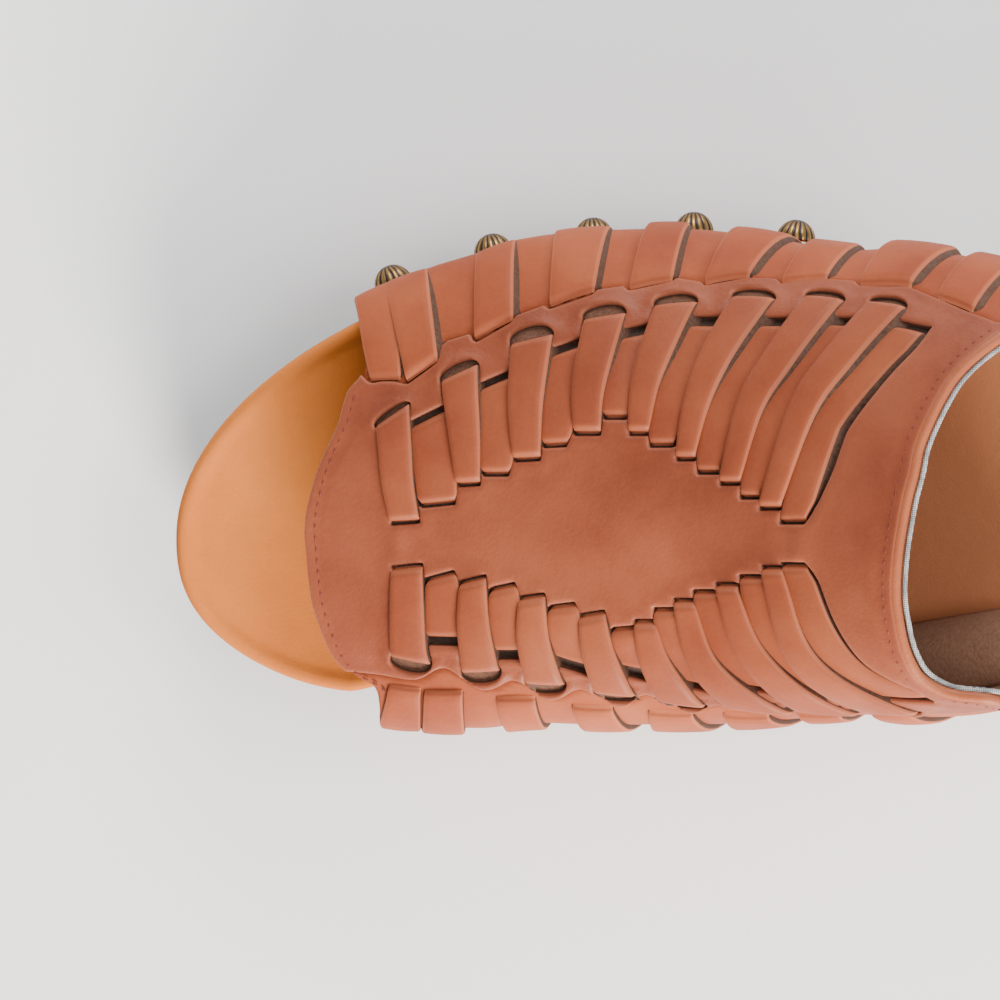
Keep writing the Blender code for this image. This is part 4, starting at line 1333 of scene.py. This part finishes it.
# Painted shade: the footbed turns duller and darker from the ball back to the heel, where it lies inside the shoe
set_attribute(insole, "wear_and_painted_light", [0.85 * smooth(v.co.x - SHIFT[0], 0.060, 0.130) for v in insole.data.vertices])
pieces = [(piece, "upper", "upper_leather") for piece in upper] + [
    (insole, "insole", "footbed_nubuck"),
    (loft("platform_body", platform_column, WHOLE, 140, STACKED), "platform", "sole_wood"),
    (loft("tread", outsole_column, (0.0, float(share_at(BREAST_TOP - CLEARANCE))), 120, TREAD),
     "outsole", "tread_rubber"),
    (loft("block_heel", heel_column, WHOLE, 64, STACKED), "heel", "sole_wood"),
    (loft("heel_top_piece", heel_tread_column, WHOLE, 64, TREAD), "heel_tread", "tread_rubber"),
]


# Studs: domed nail heads with radial flutes


def stud(name, x, side):
    above = float(footbed(x) - platform_top(x))
    s = side * (2 + (above + STUD_DROP) / (above + LASTING_MARGIN))
    out = normal(x, s)
    base = surface(x, s) + out * STUD_REST
    first = unit(np.cross(out, [0, 0, 1.0]))
    second = np.cross(out, first)
    flutes, per = 16, 6
    count = flutes * per
    turn = np.linspace(0, 2 * np.pi, count, endpoint=False)
    groove = np.abs(np.cos(turn * flutes / 2))
    rows, tarnish = [], []
    heights = np.linspace(0, math.pi / 2, 12)
    for h in heights:
        flat = math.cos(h)
        depth = 0.00030 * math.sin(min(1.0, flat * 1.6) * math.pi / 2) * (0.25 + 0.75 * (flat > 0.12))
        r = STUD_DIAMETER / 2 * flat - depth * (1 - groove**0.6)
        rim = np.outer(r * np.cos(turn), first) + np.outer(r * np.sin(turn), second)
        rows.append(base + rim + out * STUD_HEIGHT * math.sin(h))
        tarnish.append(np.clip((1 - groove) * 1.5 * (flat > 0.15), 0, 1) + 0.8 * (1 - float(smooth(flat, 0.15, 0.62))))
    points = np.concatenate(rows + [base[None] + out * STUD_HEIGHT])
    faces = grid_faces(len(heights), count, wrap=True)
    top = len(points) - 1
    faces += [(top - count + k, top - count + (k + 1) % count, top) for k in range(count)]
    faces.append(tuple(reversed(range(count))))
    made = make_mesh(name, points, faces, (BRASS,))
    set_attribute(made, "tarnish", np.clip(np.concatenate(tarnish + [np.array([0.6])]), 0, 1))
    return made


for side, word in ((1, "lateral"), (-1, "medial")):
    for k in range(7):
        end = f"{word}_{k + 1:02d}"
        made = stud(f"nail_head_{end}", STUD_START + STUD_SHIFT + STUD_PITCH * k, side)
        pieces.append((made, f"stud_{end}", "stud_brass"))

for piece, node, slot in pieces:
    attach(piece, "root")
    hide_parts(node)


# Stage: floor, light and camera


def build_stage():
    nodes = Nodes("pale_floor")
    nodes.shader.inputs["Base Color"].default_value = (0.92, 0.92, 0.92, 1)
    nodes.shader.inputs["Roughness"].default_value = 0.9
    reach = 3.0
    floor = make_mesh("floor", [(-reach, -reach, 0), (reach, -reach, 0), (reach, reach, 0), (-reach, reach, 0)],
                      [(0, 1, 2, 3)], (nodes.material,))
    floor.location.z = -0.0002


def area_light(name, place, aim, size, power, colour=(1, 1, 1)):
    data = bpy.data.lights.new(name, "AREA")
    data.shape = "DISK"
    data.size = size
    data.energy = power
    data.color = colour
    lamp = bpy.data.objects.new(name, data)
    bpy.context.scene.collection.objects.link(lamp)
    lamp.location = place
    lamp.rotation_euler = (Vector(aim) - Vector(place)).to_track_quat("-Z", "Y").to_euler()


def build_lights():
    world = bpy.data.worlds.new("studio")
    bpy.context.scene.world = world
    world.use_nodes = True
    background = world.node_tree.nodes["Background"]
    background.inputs["Color"].default_value = (1.0, 1.0, 1.0, 1)
    background.inputs["Strength"].default_value = 0.64
    area_light("overhead", (0.60, 0.10, 1.0), (-0.03, 0, 0.05), 0.7, 10)
    area_light("medial_side", (0.15, -0.85, 0.45), (-0.03, 0, 0.05), 0.5, 28, (1.0, 0.93, 0.86))
    area_light("lateral_side", (0.05, 0.90, 0.40), (-0.03, 0, 0.05), 0.6, 10)


def build_camera():
    data = bpy.data.cameras.new("photo_camera")
    data.sensor_width = 36.0
    data.lens = FOCAL_PIXELS / FRAME_PIXELS * data.sensor_width
    data.clip_start, data.clip_end = 0.01, 20.0
    camera = bpy.data.objects.new("photo_camera", data)
    bpy.context.scene.collection.objects.link(camera)
    right, up, back = camera_axes()
    camera.matrix_world = Matrix.Translation(CAMERA_PLACE) @ Matrix(np.stack([right, up, back], axis=1)).to_4x4()
    bpy.context.scene.camera = camera


build_stage()
build_lights()
build_camera()
